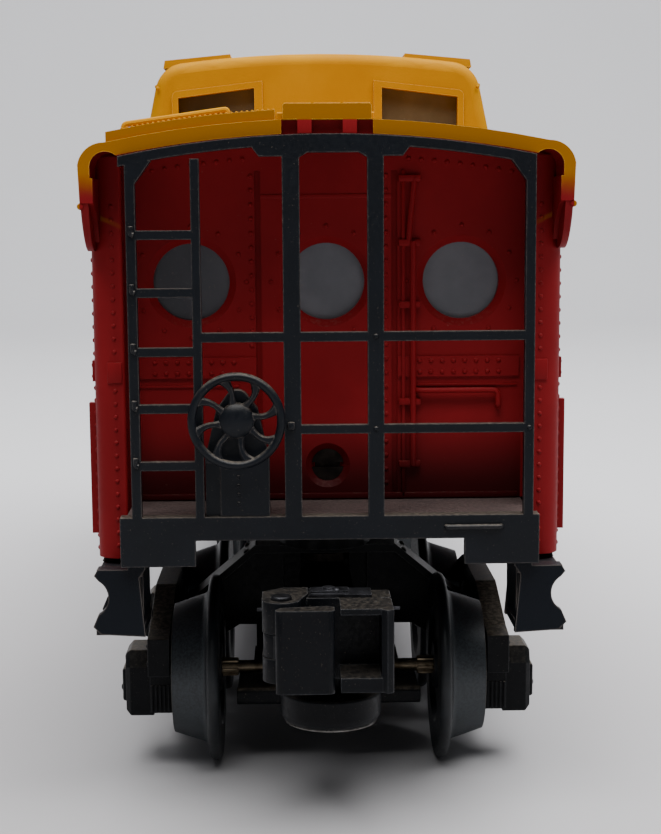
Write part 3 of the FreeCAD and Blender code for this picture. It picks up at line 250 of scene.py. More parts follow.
class Paint:
    """A node material with a few short calls for the nodes that the finishes here use."""

    def __init__(self, name):
        self.material = bpy.data.materials.new(name)
        self.material.use_nodes = True
        self.tree = self.material.node_tree
        self.shader = self.tree.nodes["Principled BSDF"]
        self.where = self.node("ShaderNodeTexCoord")

    def node(self, kind, **settings):
        made = self.tree.nodes.new(kind)
        for name, value in settings.items():
            setattr(made, name, value)
        return made

    def feed(self, socket, value):
        if isinstance(value, bpy.types.NodeSocket):
            self.tree.links.new(value, socket)
        else:
            socket.default_value = value

    def math(self, operation, first, second=0.0, third=0.0):
        made = self.node("ShaderNodeMath", operation=operation)
        for socket, value in zip(made.inputs, (first, second, third)):
            self.feed(socket, value)
        return made.outputs[0]

    def times(self, first, second):
        return self.math("MULTIPLY", first, second)

    def plus(self, first, second):
        return self.math("ADD", first, second)

    def minus(self, first, second):
        return self.math("SUBTRACT", first, second)

    def larger(self, first, second):
        return self.math("MAXIMUM", first, second)

    def over(self, value, limit):
        """1 where the value is over the limit, else 0."""
        return self.math("GREATER_THAN", value, limit)

    def under(self, value, limit):
        """1 where the value is under the limit, else 0."""
        return self.math("LESS_THAN", value, limit)

    def noise(self, size, detail=3.0, rough=0.55):
        """Noise whose features are about size millimetres across."""
        made = self.node("ShaderNodeTexNoise")
        made.inputs["Scale"].default_value = 1.0 / (size * MM)
        made.inputs["Detail"].default_value = detail
        made.inputs["Roughness"].default_value = rough
        self.feed(made.inputs["Vector"], self.where.outputs["Object"])
        return made.outputs["Fac"]

    def spread(self, value, low, high, out_low=0.0, out_high=1.0):
        """Map low..high to out_low..out_high with soft ends."""
        made = self.node("ShaderNodeMapRange", interpolation_type="SMOOTHSTEP")
        limits = {"From Min": low, "From Max": high, "To Min": out_low, "To Max": out_high}
        for name, number in limits.items():
            made.inputs[name].default_value = number
        self.feed(made.inputs["Value"], value)
        return made.outputs["Result"]

    def mix(self, share, first, second):
        made = self.node("ShaderNodeMix", data_type="RGBA")
        self.feed(made.inputs["Factor"], share)
        self.feed(made.inputs["A"], first)
        self.feed(made.inputs["B"], second)
        return made.outputs["Result"]

    def axes(self, output="Object"):
        """x, y and z in millimetres, or the parts of the surface normal."""
        split = self.node("ShaderNodeSeparateXYZ")
        self.feed(split.inputs[0], self.where.outputs[output])
        if output == "Normal":
            return split.outputs
        return [self.times(socket, 1.0 / MM) for socket in split.outputs]

    def facing_up(self, low=0.3, high=0.95):
        return self.spread(self.axes("Normal")[2], low, high)

    def worn_edges(self, radius=0.25, low=0.02, high=0.18):
        """1 along sharp outer and inner edges."""
        soft = self.node("ShaderNodeBevel", samples=4)
        soft.inputs["Radius"].default_value = radius * MM
        flat = self.node("ShaderNodeNewGeometry")
        dot = self.node("ShaderNodeVectorMath", operation="DOT_PRODUCT")
        self.feed(dot.inputs[0], soft.outputs["Normal"])
        self.feed(dot.inputs[1], flat.outputs["Normal"])
        bend = self.minus(1.0, dot.outputs["Value"])
        return self.spread(bend, low, high)

    def bump(self, height, strength, distance):
        made = self.node("ShaderNodeBump")
        made.inputs["Strength"].default_value = strength
        made.inputs["Distance"].default_value = distance * MM
        self.feed(made.inputs["Height"], height)
        self.feed(self.shader.inputs["Normal"], made.outputs["Normal"])

    def set(self, **values):
        """Feed the shader's inputs, named with _ for each space."""
        for name, value in values.items():
            self.feed(self.shader.inputs[name.replace("_", " ")], value)


def plastic(name, colour, worn, dust, roughness, shine=0.13, dust_least=0.1, dust_most=0.35, wear_most=0.6):
    """Moulded or painted dark part: fine grain, mottled gloss, paler edges and dust where it faces up."""
    paint = Paint(name)
    blotch = paint.noise(6.0, 4.0)
    fine = paint.noise(0.5, 5.0, 0.65)
    speck = paint.noise(0.22, 3.0, 0.7)
    deep = tuple(value * 0.72 for value in colour[:3]) + (1.0,)
    base = paint.mix(paint.spread(blotch, 0.3, 0.7), colour, deep)
    edge = paint.times(paint.worn_edges(), paint.spread(fine, 0.35, 0.65, 0.15, wear_most))
    base = paint.mix(edge, base, worn)
    lying = paint.times(paint.facing_up(), paint.spread(fine, 0.38, 0.66, dust_least, dust_most))
    flecks = paint.times(paint.spread(speck, 0.66, 0.74), 0.35)
    base = paint.mix(paint.larger(lying, flecks), base, dust)
    gloss = paint.spread(fine, 0.2, 0.8, roughness - 0.1, roughness + 0.14)
    paint.set(Base_Color=base, Roughness=gloss, Specular_IOR_Level=shine)
    paint.bump(paint.plus(fine, paint.times(speck, 0.6)), 0.35, 0.035)
    return paint.material


def metal(name, colour, dark, roughness):
    """Bare metal with tarnish blotches and fine scratches."""
    paint = Paint(name)
    blotch = paint.noise(2.4, 5.0, 0.6)
    fine = paint.noise(0.5, 4.0, 0.6)
    base = paint.mix(paint.spread(blotch, 0.35, 0.68), colour, dark)
    base = paint.mix(paint.spread(fine, 0.5, 0.8, 0.0, 0.5), base, dark)
    gloss = paint.spread(fine, 0.2, 0.8, roughness - 0.08, roughness + 0.16)
    paint.set(Base_Color=base, Roughness=gloss, Metallic=0.9)
    paint.bump(fine, 0.3, 0.03)
    return paint.material


def shell_paint():
    """Deep red body with a golden roof sprayed over it: crisp along the roof's rim, soft down the eaves."""
    spray_z = 71.2                      # middle of the soft edge down the eaves
    rim_deep = 1.6                      # how far the gold reaches below the roof's top at its ends
    notch_half = 5.02                   # red gap under the end of the walkway
    brow_z = 68.5                       # faint gold line across the corner posts
    shelter_z = 75.2                    # end wall and posts under the roof's end: no gold below this
    paint = Paint("shell_paint")
    x, y, z = paint.axes()
    side = paint.math("ABSOLUTE", x)
    along = paint.math("ABSOLUTE", y)
    blotch = paint.noise(9.0, 4.0)
    fine = paint.noise(0.45, 4.0, 0.6)

    # Gold above the roof's rim, and above a wandering line at the eaves.
    ratio = paint.math("DIVIDE", x, SHOULDER_X)
    curve = paint.times(paint.times(ratio, ratio), ROOF_RISE)
    rim = paint.minus(CROWN - rim_deep, curve)
    at_eave = paint.spread(side, 24.0, 25.8)
    wander = paint.times(paint.minus(paint.noise(4.0, 4.0), 0.5), 1.6)
    wander = paint.times(wander, at_eave)
    low = paint.times(paint.minus(rim, spray_z), paint.minus(1.0, at_eave))
    edge = paint.plus(paint.plus(low, spray_z), wander)
    soft = paint.spread(at_eave, 0.0, 1.0, 0.12, 1.7)
    golden = paint.spread(paint.math("DIVIDE", paint.minus(z, edge), soft), -1.0, 1.0)

    # The spray missed the gap under the walkway, faces turned down or inwards, and the end wall and posts.
    notch = paint.times(paint.under(side, notch_half), paint.under(z, CROWN - 0.12))
    notch = paint.times(notch, paint.over(along, ROOF_Y - 1.4))
    golden = paint.times(golden, paint.minus(1.0, notch))
    normal = paint.axes("Normal")
    sideways = paint.times(normal[0], paint.math("SIGN", x))
    outward = paint.plus(sideways, normal[2])
    above_roof = paint.over(z, paint.plus(rim, 1.2))
    golden = paint.times(golden, paint.larger(paint.spread(outward, -0.4, -0.1), above_roof))
    lip = paint.times(paint.spread(side, BODY_HALF + 0.2, BODY_HALF + 0.32), paint.spread(z, 68.3, 68.5))
    golden = paint.larger(golden, lip)
    endways = paint.over(paint.math("ABSOLUTE", normal[1]), 0.6)
    at_end = paint.times(endways, paint.over(along, ROOF_Y - 0.6))
    sheltered = paint.times(paint.minus(endways, at_end), paint.under(z, shelter_z))
    golden = paint.times(golden, paint.minus(1.0, sheltered))

    # Faint gold across the corner posts.
    brow = paint.plus(paint.times(paint.minus(side, BODY_HALF), 0.5), brow_z)
    brow = paint.math("ABSOLUTE", paint.minus(z, paint.plus(brow, wander)))
    at_post = paint.math("COMPARE", along, POST_Y, 0.3)
    brow = paint.times(paint.spread(brow, 0.45, 0.05), paint.times(at_post, endways))
    brow = paint.times(brow, paint.spread(side, 23.4, 26.5, 0.1, 0.5))

    # The two colours, thinner gold on the roof's ends and paler worn edges.
    red = paint.mix(paint.spread(blotch, 0.3, 0.7), RED, RED_DEEP)
    yellow = paint.mix(paint.spread(blotch, 0.3, 0.7), YELLOW, YELLOW_DEEP)
    yellow = paint.mix(at_end, yellow, YELLOW_THIN)
    base = paint.mix(paint.larger(golden, brow), red, yellow)
    edge_line = paint.times(paint.worn_edges(0.16, 0.04, 0.25), paint.spread(fine, 0.3, 0.6, 0.3, 0.8))
    base = paint.mix(paint.times(edge_line, golden), base, YELLOW_EDGE)

    # Painted shade low on the end wall and on the sides and corner posts, specks and dust.
    # Painted shade on the end wall, darkest near the deck.
    end_wall_shade = paint.times(paint.spread(z, 45.0, 35.5, 0.0, 0.85), paint.under(side, 22.9))
    base = paint.mix(paint.times(end_wall_shade, paint.over(along, WALL_Y - 1.0)), base, SHADE_RED)
    # Painted shade: the sides and corner posts are darkened where they are not gold.
    side_shade = paint.minus(0.22, paint.times(golden, 0.22))
    base = paint.mix(paint.times(paint.spread(side, 22.8, 24.0), side_shade), base, SHADE_RED)
    speck = paint.spread(paint.noise(0.6, 2.0), 0.74, 0.8)
    dust = paint.times(paint.facing_up(0.2, 1.0), paint.spread(fine, 0.45, 0.75, 0.0, 0.16))
    base = paint.mix(paint.larger(dust, paint.times(speck, 0.12)), base, DUST)
    paint.set(Base_Color=base, Roughness=paint.spread(fine, 0.2, 0.8, 0.44, 0.58),
              Specular_IOR_Level=paint.spread(golden, 0.0, 1.0, 0.09, 0.04))
    paint.bump(paint.plus(paint.times(blotch, 2.5), paint.times(fine, 0.35)), 0.25, 0.06)
    return paint.material


def milky_plastic(name, clear, deep):
    """Translucent window sheet, a little uneven and dusty, with painted shade on the ladder's side of the
    end.
    """
    paint = Paint(name)
    cloud = paint.noise(5.0, 3.0)
    fine = paint.noise(0.35, 3.0)
    base = paint.mix(paint.spread(cloud, 0.3, 0.7), clear, deep)
    x = paint.axes()[0]
    # Painted shade on the panes on the ladder's side of the end.
    ladder_side_shade = paint.times(paint.spread(x, -8.0, -16.0), paint.over(x, -23.0))
    base = paint.mix(paint.times(ladder_side_shade, 0.55), base, PANE_SHADE)
    base = paint.mix(paint.spread(fine, 0.62, 0.8, 0.0, 0.35), base, DUST)
    paint.set(Base_Color=base, Roughness=paint.spread(fine, 0.2, 0.8, 0.3, 0.5), Specular_IOR_Level=0.2,
              Subsurface_Weight=0.3, Subsurface_Radius=(0.002, 0.002, 0.002), Subsurface_Scale=1.0)
    paint.bump(fine, 0.15, 0.02)
    return paint.material


def deck_finish():
    """Black casting under a coat of grey-brown dust on its top face; the steps below it are cleaner."""
    paint = Paint("deck_dust")
    blotch = paint.noise(3.0, 5.0, 0.6)
    fine = paint.noise(0.4, 5.0, 0.7)
    speck = paint.noise(0.2, 3.0, 0.7)
    dust = paint.mix(paint.spread(fine, 0.35, 0.65), DECK_DUST, DECK_DUST_DEEP)
    dust = paint.mix(paint.spread(speck, 0.62, 0.74, 0.0, 0.5), dust, DECK_FLECK)
    bare = paint.mix(paint.worn_edges(), BLACK, BLACK_WORN)
    cover = paint.times(paint.facing_up(0.5, 0.95), paint.spread(blotch, 0.2, 0.6, 0.75, 1.0))
    cover = paint.times(cover, paint.spread(paint.axes()[2], 30.0, 32.0, 0.12, 1.0))
    paint.set(Base_Color=paint.mix(cover, bare, dust), Roughness=paint.spread(cover, 0.0, 1.0, 0.42, 0.85),
              Specular_IOR_Level=0.12)
    paint.bump(paint.plus(fine, speck), 0.6, 0.06)
    return paint.material


def wheel_finish():
    """Blackened casting; the tread is rubbed grey and dusty."""
    paint = Paint("wheel_iron")
    side = paint.math("ABSOLUTE", paint.axes()[0])
    blotch = paint.noise(2.0, 5.0, 0.65)
    fine = paint.noise(0.3, 4.0, 0.7)
    tread = paint.times(paint.spread(side, 14.6, 15.3), paint.spread(side, 19.3, 18.9))
    base = paint.mix(paint.spread(blotch, 0.35, 0.65), WHEEL, WHEEL_DEEP)
    rubbed = paint.times(tread, paint.spread(fine, 0.35, 0.65, 0.25, 0.8))
    base = paint.mix(rubbed, base, TREAD)
    base = paint.mix(paint.times(paint.worn_edges(0.2), 0.6), base, RUBBED)
    paint.set(Base_Color=base, Roughness=paint.spread(fine, 0.2, 0.8, 0.34, 0.6), Metallic=0.25)
    paint.bump(paint.plus(fine, blotch), 0.4, 0.05)
    return paint.material


def lamp_glass():
    """Clear bulb glass, very slightly uneven."""
    paint = Paint("lamp_glass")
    fine = paint.noise(0.6, 3.0)
    paint.set(Base_Color=paint.mix(fine, srgb(250, 246, 230), srgb(232, 226, 205)),
              Roughness=paint.spread(fine, 0.3, 0.7, 0.05, 0.15), Transmission_Weight=0.9)
    return paint.material


RED, RED_DEEP = srgb(138, 25, 30), srgb(128, 21, 26)
YELLOW, YELLOW_DEEP = srgb(190, 133, 0), srgb(181, 123, 0)
# The last of these, a near-black red, is painted shade for the end walls and the body's sides.
YELLOW_THIN, YELLOW_EDGE, SHADE_RED = srgb(150, 96, 0), srgb(240, 190, 96), srgb(24, 6, 7)
DUST = srgb(150, 138, 122)
# The last of these is painted shade for the panes on the ladder's side of the end.
MILK, MILK_DEEP, PANE_SHADE = srgb(124, 125, 130), srgb(112, 114, 119), srgb(38, 38, 42)
BLACK, BLACK_WORN = srgb(14, 18, 24), srgb(104, 97, 92)
DECK_DUST, DECK_DUST_DEEP, DECK_FLECK = srgb(92, 78, 75), srgb(70, 58, 56), srgb(142, 130, 121)
WHEEL, WHEEL_DEEP = srgb(22, 27, 31), srgb(14, 17, 20)
TREAD, RUBBED = srgb(58, 64, 68), srgb(110, 106, 98)

SHELL = shell_paint()
MILKY = milky_plastic("milky_plastic", MILK, MILK_DEEP)
# The cupola's panes are darkened: painted shade of the dark inside of the cupola behind them.
CUPOLA_PANE_SHADE = milky_plastic("cupola_pane_shaded", srgb(112, 98, 76), srgb(98, 84, 62))
DECK = deck_finish()
IRON = wheel_finish()
RAILING = plastic("black_plastic", BLACK, BLACK_WORN, DUST, 0.4, shine=0.2, wear_most=0.75)
TRUCK_BLACK = plastic("frame_steel", srgb(7, 9, 12), srgb(70, 70, 72), DUST, 0.45, dust_most=0.4)
COUPLER = plastic("coupler_black", srgb(9, 11, 15), srgb(84, 86, 90), DUST, 0.4,
                  dust_least=0.02, dust_most=0.1)
BOLSTER = plastic("bolster_steel", srgb(16, 18, 20), srgb(120, 120, 118), srgb(122, 120, 114), 0.42,
                  dust_least=0.55, dust_most=1.0)
AXLE = metal("axle_steel", srgb(150, 136, 112), srgb(84, 72, 56), 0.35)
BRIGHT = metal("bright_steel", srgb(150, 148, 144), srgb(70, 66, 62), 0.3)
DARK_STEEL = metal("blackened_steel", srgb(44, 38, 34), srgb(22, 18, 16), 0.45)
LEAF = metal("leaf_steel", srgb(66, 66, 70), srgb(28, 28, 30), 0.42)
BRASS = metal("brass", srgb(196, 160, 92), srgb(120, 88, 44), 0.32)
GLASS = lamp_glass()


# ---- CAD nodes -----------------------------------------------------------------------------------

def finish_node(name, material, bevel):
    """Give a CAD node its finish and, if bevel isn't 0, softly rounded edges."""
    item = NODES[name]
    if item.material_slots:
        for holder in item.material_slots:
            holder.material = material
    else:
        item.data.materials.append(material)
    if not bevel:
        return
    weld = item.modifiers.new("weld", "WELD")
    weld.merge_threshold = 1e-6
    flat = item.modifiers.new("flat", "DECIMATE")
    flat.decimate_type = "DISSOLVE"
    flat.angle_limit = math.radians(1.0)
    soft = item.modifiers.new("soft", "BEVEL")
    soft.width = bevel * MM
    soft.segments = 2
    soft.limit_method = "ANGLE"
    soft.angle_limit = math.radians(30)
    soft.harden_normals = True


# Finish of each CAD node and the width of its rounded edges in millimetres.
FINISHES = {
    "body_shell": (SHELL, 0.0), "cupola_glazing": (CUPOLA_PANE_SHADE, 0.0), "underframe": (TRUCK_BLACK, 0.12),
    "body_screws": (DARK_STEEL, 0.0), "lamp_bracket": (BRIGHT, 0.0), "lamp_socket": (BRASS, 0.0),
    "lamp_bulb": (GLASS, 0.0), "pickup_arm": (BRIGHT, 0.06), "pickup_pin": (BRIGHT, 0.0),
    "pickup_hanger": (BRASS, 0.06), "pickup_roller": (BRASS, 0.0),
}
for side in ("left", "right", "front", "rear"):
    FINISHES["glazing_" + side] = (MILKY, 0.0)
for end in ENDS:
    FINISHES.update({
        "platform_" + end: (DECK, 0.12), "end_railing_" + end: (RAILING, 0.14),
        "brake_stand_" + end: (RAILING, 0.14), "brake_wheel_" + end: (RAILING, 0.08),
        "truck_pivot_" + end: (DARK_STEEL, 0.0),
        "truck_bolster_" + end: (BOLSTER, 0.15), "bottom_plate_" + end: (TRUCK_BLACK, 0.12),
        "coupler_head_" + end: (COUPLER, 0.18), "coupler_plate_" + end: (LEAF, 0.05),
        "knuckle_" + end: (COUPLER, 0.2), "knuckle_pin_" + end: (LEAF, 0.0),
        "uncoupling_disc_" + end: (COUPLER, 0.0),
    })
    for side in ("left", "right"):
        FINISHES[f"side_frame_{end}_{side}"] = (TRUCK_BLACK, 0.16)
for number in range(1, 5):
    FINISHES[f"axle_{number}"] = (AXLE, 0.0)
    for side in ("left", "right"):
        FINISHES[f"wheel_{number}_{side}"] = (IRON, 0.0)
for name, (material, bevel) in FINISHES.items():
    finish_node(name, material, bevel)


# ---- rivets and trim on the body moulding --------------------------------------------------------

def rivet_line(bm, start, end, pitch, axis, radius=0.3, height=0.2):
    """Rivet heads at an even pitch from start to end, both ends included."""
    start, end = Vector(start), Vector(end)
    count = max(1, round((end - start).length / pitch))
    for step in range(count + 1):
        add_dome(bm, start.lerp(end, step / count), axis, radius, height, RIVET["steps"])


def rivet_ring(bm, centre, across, up, axis, radius=6.45, count=12):
    """Rivet heads in a circle round a porthole."""
    centre, across, up = Vector(centre), Vector(across), Vector(up)
    for step in range(count):
        turn = math.tau * step / count
        add_dome(bm, centre + (across * math.cos(turn) + up * math.sin(turn)) * radius, axis, **RIVET)


def end_wall_rivets(end):
    """Rivets round the portholes, beside the door, under the roof, on the belt and on the corner posts."""
    bm = bmesh.new()
    out = (0, -1, 0)
    wall, belt, post = -WALL_Y, -WALL_Y - BELT_PROUD, -POST_Y
    for x in (-PORT_X, 0.0, PORT_X):
        rivet_ring(bm, (x, wall, PORT_Z), (1, 0, 0), (0, 0, 1), out)
    for x in (-8.75, 6.95):
        rivet_line(bm, (x, wall, 36.4), (x, wall, 72.4), 1.6, out)
    for side in SIGNS:
        for step in range(9):
            x = side * (9.6 + 1.5 * step)
            add_dome(bm, (x, wall, roof_z(x) - 3.6), out, **RIVET)
        for z in (BELT_LOW + 0.55, BELT_TOP - 0.55):
            rivet_line(bm, (side * 10.9, belt, z), (side * 20.2, belt, z), 1.3, out)
        rivet_line(bm, (side * 24.35, post, 30.2), (side * 24.35, post, 69.0), 1.5, out, **POST_RIVET)
    piece("end_wall_rivets_" + end, bm, SHELL, "car", place=end_place(end))


def end_wall_trim(end):
    """Door strips, two pipes in brackets, belt drips, a grab iron and the strip along the wall's foot."""
    bm = bmesh.new()
    wall = -WALL_Y
    add_box(bm, (8.75, wall - 0.45, DECK_TOP + 0.3), (9.2, wall + 0.2, 73.0), 0.12)
    add_box(bm, (-DOOR_HALF, wall - 0.12, 69.8), (DOOR_HALF, wall + 0.2, 70.3), 0.06)
    for z in (72.0, 64.6, 57.4, 46.0, 38.6):
        add_box(bm, (8.4, wall - 0.75, z - 0.35), (11.0, wall + 0.2, z + 0.45), 0.15)
    pipe_r = 0.36
    add_rod(bm, [(10.1, wall - 0.75, 64.9), (10.1, wall - 0.75, 38.4)], pipe_r)
    add_rod(bm, [(10.3, wall - 0.45, 72.2), (9.7, wall - 0.45, 66.5), (9.6, wall - 0.45, 64.6)], pipe_r)
    drip_low, drip_top = BELT_LOW - 1.15, BELT_LOW - 0.85
    for side in SIGNS:
        drip = sorted_box((side * 10.4, wall - 0.2, drip_low), (side * 22.4, wall + 0.2, drip_top))
        add_box(bm, *drip, 0.08)
        post_belt = sorted_box((side * 23.5, -POST_Y - 0.22, BELT_LOW),
                               (side * 25.2, -POST_Y + 0.3, BELT_TOP))
        add_box(bm, *post_belt, 0.12)
    grab_z, grab_left, grab_right = 47.4, 10.6, 20.1
    add_rod(bm, [(grab_left, wall - 0.1, grab_z), (grab_left, wall - 0.9, grab_z),
                 (grab_right, wall - 0.9, grab_z), (grab_right, wall - 0.9, grab_z - 2.0),
                 (grab_right, wall + 0.1, grab_z - 2.0)], 0.33)
    add_box(bm, (-22.6, wall - 0.45, DECK_TOP + 0.1), (22.6, wall + 0.2, DECK_TOP + 0.8), 0.12)
    piece("end_wall_trim_" + end, bm, SHELL, "car", place=end_place(end))


def side_wall_details(side, name):
    """Lapped sheets, rows of rivets and rings of rivets round the portholes along one side."""
    bm = bmesh.new()
    out = (side, 0, 0)
    x = side * BODY_HALF
    lap, belt = x + side * 0.14, x + side * BELT_PROUD       # faces of the laps and of the belt
    low, high = BODY_LOW + 1.4, SHEET_TOP
    for y in SEAMS_Y:
        for foot, head in ((low - 0.9, BELT_LOW - 0.05), (BELT_TOP + 0.05, high + 0.6)):
            add_box(bm, *sorted_box((x - side * 0.3, y - 0.75, foot), (lap, y + 0.75, head)), 0.08, 1)
        for foot, head in ((low, BELT_LOW - 0.9), (BELT_TOP + 0.9, high)):
            rivet_line(bm, (lap, y, foot), (lap, y, head), 1.55, out)
    for end_sign in SIGNS:
        y = end_sign * (POST_Y - 3.0)
        for foot, head in ((BELT_TOP + 0.8, 66.0), (BODY_LOW + 0.8, BELT_LOW - 0.8)):
            rivet_line(bm, (x, y, foot), (x, y, head), 1.5, out, **SHEET_RIVET)
    reach = POST_Y - 3.2
    for z in (BELT_LOW + 0.55, BELT_TOP - 0.55):
        rivet_line(bm, (belt, -reach, z), (belt, reach, z), 1.6, out, **FINE_RIVET)
    for z in (BODY_LOW + 0.9, 67.7):
        rivet_line(bm, (x, -reach, z), (x, reach, z), 1.6, out, **FINE_RIVET)
    for y in SIDE_PORTS_Y:
        rivet_ring(bm, (x, y, PORT_Z), (0, 1, 0), (0, 0, 1), out)
    piece(f"side_details_{name}", bm, SHELL, "car")


def roof_strip_rings(y_low, y_high, proud, half):
    """Rings of a thin strip that crosses the roof from one side to the other."""
    rings = []
    for step in range(25):
        x = half * (step / 12 - 1)
        z = roof_z(x)
        rings.append([(x, y_low, z - 0.3), (x, y_low, z + proud * 0.6), (x, y_low + 0.15, z + proud),
                      (x, y_high - 0.15, z + proud), (x, y_high, z + proud * 0.6), (x, y_high, z - 0.3)])
    return rings


def roof_details():
    """Seams across the roof with their rivets, planks of the walkway and its saddles."""
    bm = bmesh.new()
    seam_proud, seam_half = 0.22, 24.0
    for spot in ROOF_SEAMS_Y:
        for y in (-spot, spot):
            add_ring_solid(bm, roof_strip_rings(y - 0.45, y + 0.45, seam_proud, seam_half))
            for x in (-22.5, -16.5, -10.5, 10.5, 16.5, 22.5):
                add_dome(bm, (x, y, roof_z(x) + seam_proud), (0, 0, 1), 0.3, 0.18, 8)
    for end_sign in SIGNS:
        low, high = sorted((end_sign * (CUPOLA_Y + 0.2), end_sign * (ROOF_Y - 0.35)))
        for x in (-3.25, 0.0, 3.25):
            add_box(bm, (x - 1.5, low, WALK_TOP - 0.3), (x + 1.5, high, WALK_TOP + 0.12), 0.1, 1)
        for spot in ROOF_SEAMS_Y:
            y = end_sign * (spot + 4.0)
            if abs(y) < ROOF_Y - 2:
                add_box(bm, (-5.6, y - 0.5, CROWN - 0.5), (5.6, y + 0.5, WALK_TOP - 0.35), 0.12, 1)
    piece("roof_details", bm, SHELL, "car")


def landing_details(end):
    """Row of tread dots and the bent grab iron on the landing beside the walkway."""
    bm = bmesh.new()
    front = -ROOF_Y + 0.4
    top = LANDING_THICK
    for step in range(30):
        x = -22.4 + step * 0.57
        add_dome(bm, (x, front + 0.2, roof_z(x) + top), (0.0, -0.3, 1.0), 0.17, 0.12, 8)
    left, right = -22.3, -10.9
    lift = top + 0.5
    y = front + 1.6
    add_rod(bm, [(left, y, roof_z(left) + top - 0.3), (left, y, roof_z(left) + lift),
                 (right, y, roof_z(right) + lift), (right, y, roof_z(right) + top - 0.3)], 0.34, 0.6)
    piece("landing_details_" + end, bm, SHELL, "car", place=end_place(end))


def eave_webs(end):
    """Curved webs that carry the roof's end down to the corner posts, and the bead along the eaves."""
    bm = bmesh.new()
    root = 7.5 - ROOF_Y                  # where a web meets its corner post
    inner = 26.2
    web_top, web_drop, web_sweep = 70.6, 6.6, 5.1
    bead_x, bead_z = BODY_HALF + 0.2, EAVE_LOW - 0.35
    for side in SIGNS:
        rings = []
        for step in range(13):
            turn = math.pi / 2 * step / 12
            z = web_top - web_drop * math.sin(turn)
            tip = -ROOF_Y + 0.05 + web_sweep * (1 - math.cos(turn))
            skin = BODY_HALF + 0.25 - 0.2 * math.sin(turn)
            rings.append([(side * inner, tip, z), (side * (skin - 0.15), tip, z),
                          (side * skin, tip + 0.15, z), (side * skin, root, z), (side * inner, root, z)])
        add_ring_solid(bm, rings)
        add_rod(bm, [(side * bead_x, 0.05 - ROOF_Y, bead_z), (side * bead_x, 0.2, bead_z)], 0.38)
    piece("eave_webs_" + end, bm, SHELL, "car", place=end_place(end))


def cupola_details():
    """Frame strips and bars of the cupola's side windows, rivets along its sides and on its ends."""
    bm = bmesh.new()
    near, far = 4.0, 21.0                # ends of a side window, from the middle of the car
    strip_zs = (CUPOLA_WINDOW_LOW - 0.55, 86.35)
    bar_zs = (CUPOLA_WINDOW_LOW - 0.6, 86.5)
    for end_sign in SIGNS:
        for x in (-23.6, 23.6):
            add_dome(bm, (x, end_sign * CUPOLA_Y, 86.6), (0, end_sign, 0), **RIVET)
        for side in SIGNS:
            for z in strip_zs:
                x = side * cupola_half(z)
                strip = sorted_box((x - side * 0.4, end_sign * (near - 0.9), z - 0.4),
                                   (x + side * 0.22, end_sign * (far + 0.9), z + 0.4))
                add_box(bm, *strip, 0.12, 1)
            for y in (near - 0.5, (near + far) / 2, far + 0.5):
                bar = [(side * (cupola_half(z) - 0.1), end_sign * y, z) for z in bar_zs]
                add_rod(bm, bar, 0.45, sides=8)
    reach = CUPOLA_Y - 1.6
    for side in SIGNS:
        for z, half in ((79.0, cupola_half(79.0)), (87.0, 23.95)):
            x = side * half
            rivet_line(bm, (x, -reach, z), (x, reach, z), 1.6, (side, 0, 0.2), **FINE_RIVET)
    piece("cupola_details", bm, SHELL, "car")


# ---- platforms, railings and brake gear ----------------------------------------------------------

def railing_details(end):
    """Rung ends, bolts, the grab bar on the sill and the latch block beside the middle post."""
    bm = bmesh.new()
    face = -SILL_Y
    for top in RUNG_TOPS:
        z = top - 0.5
        rung_end = [(-21.2, face - 0.1, z), (-21.55, face - 0.1, z + 0.1), (-21.55, face - 0.1, z + 1.0)]
        add_rod(bm, rung_end, 0.3, 0.3)
    for x, z in ((5.2, 54.6), (5.2, 44.3), (22.25, 44.3)):
        add_dome(bm, (x, face, z), (0, -1, 0), 0.3, 0.2)
    left, right, bar_z = 13.0, 19.2, 33.2
    add_rod(bm, [(left, face + 0.2, bar_z), (left, face - 0.28, bar_z), (right, face - 0.28, bar_z),
                 (right, face + 0.2, bar_z)], 0.28, 0.3)
    add_box(bm, (-4.7, face - 0.45, 44.3), (-3.8, face + 0.2, 45.2), 0.25)
    piece("railing_details_" + end, bm, RAILING, "car", place=end_place(end))


def stand_details(end):
    """A row of rivets on the brake stand and the bearing ring round the spindle."""
    bm = bmesh.new()
    face = -SILL_Y + 0.3
    rivet_line(bm, (-10.2, face, 36.0), (-10.2, face, 40.0), 1.0, (0, -1, 0), 0.24, 0.16)
    bearing = [(0.95, 0.0), (1.5, 0.0), (1.5, -0.25), (0.95, -0.35)]
    add_lathe(bm, (BRAKE_X, face, BRAKE_Z), (0, 1, 0), bearing, 24, hole=True)
    piece("stand_details_" + end, bm, RAILING, "car", place=end_place(end))


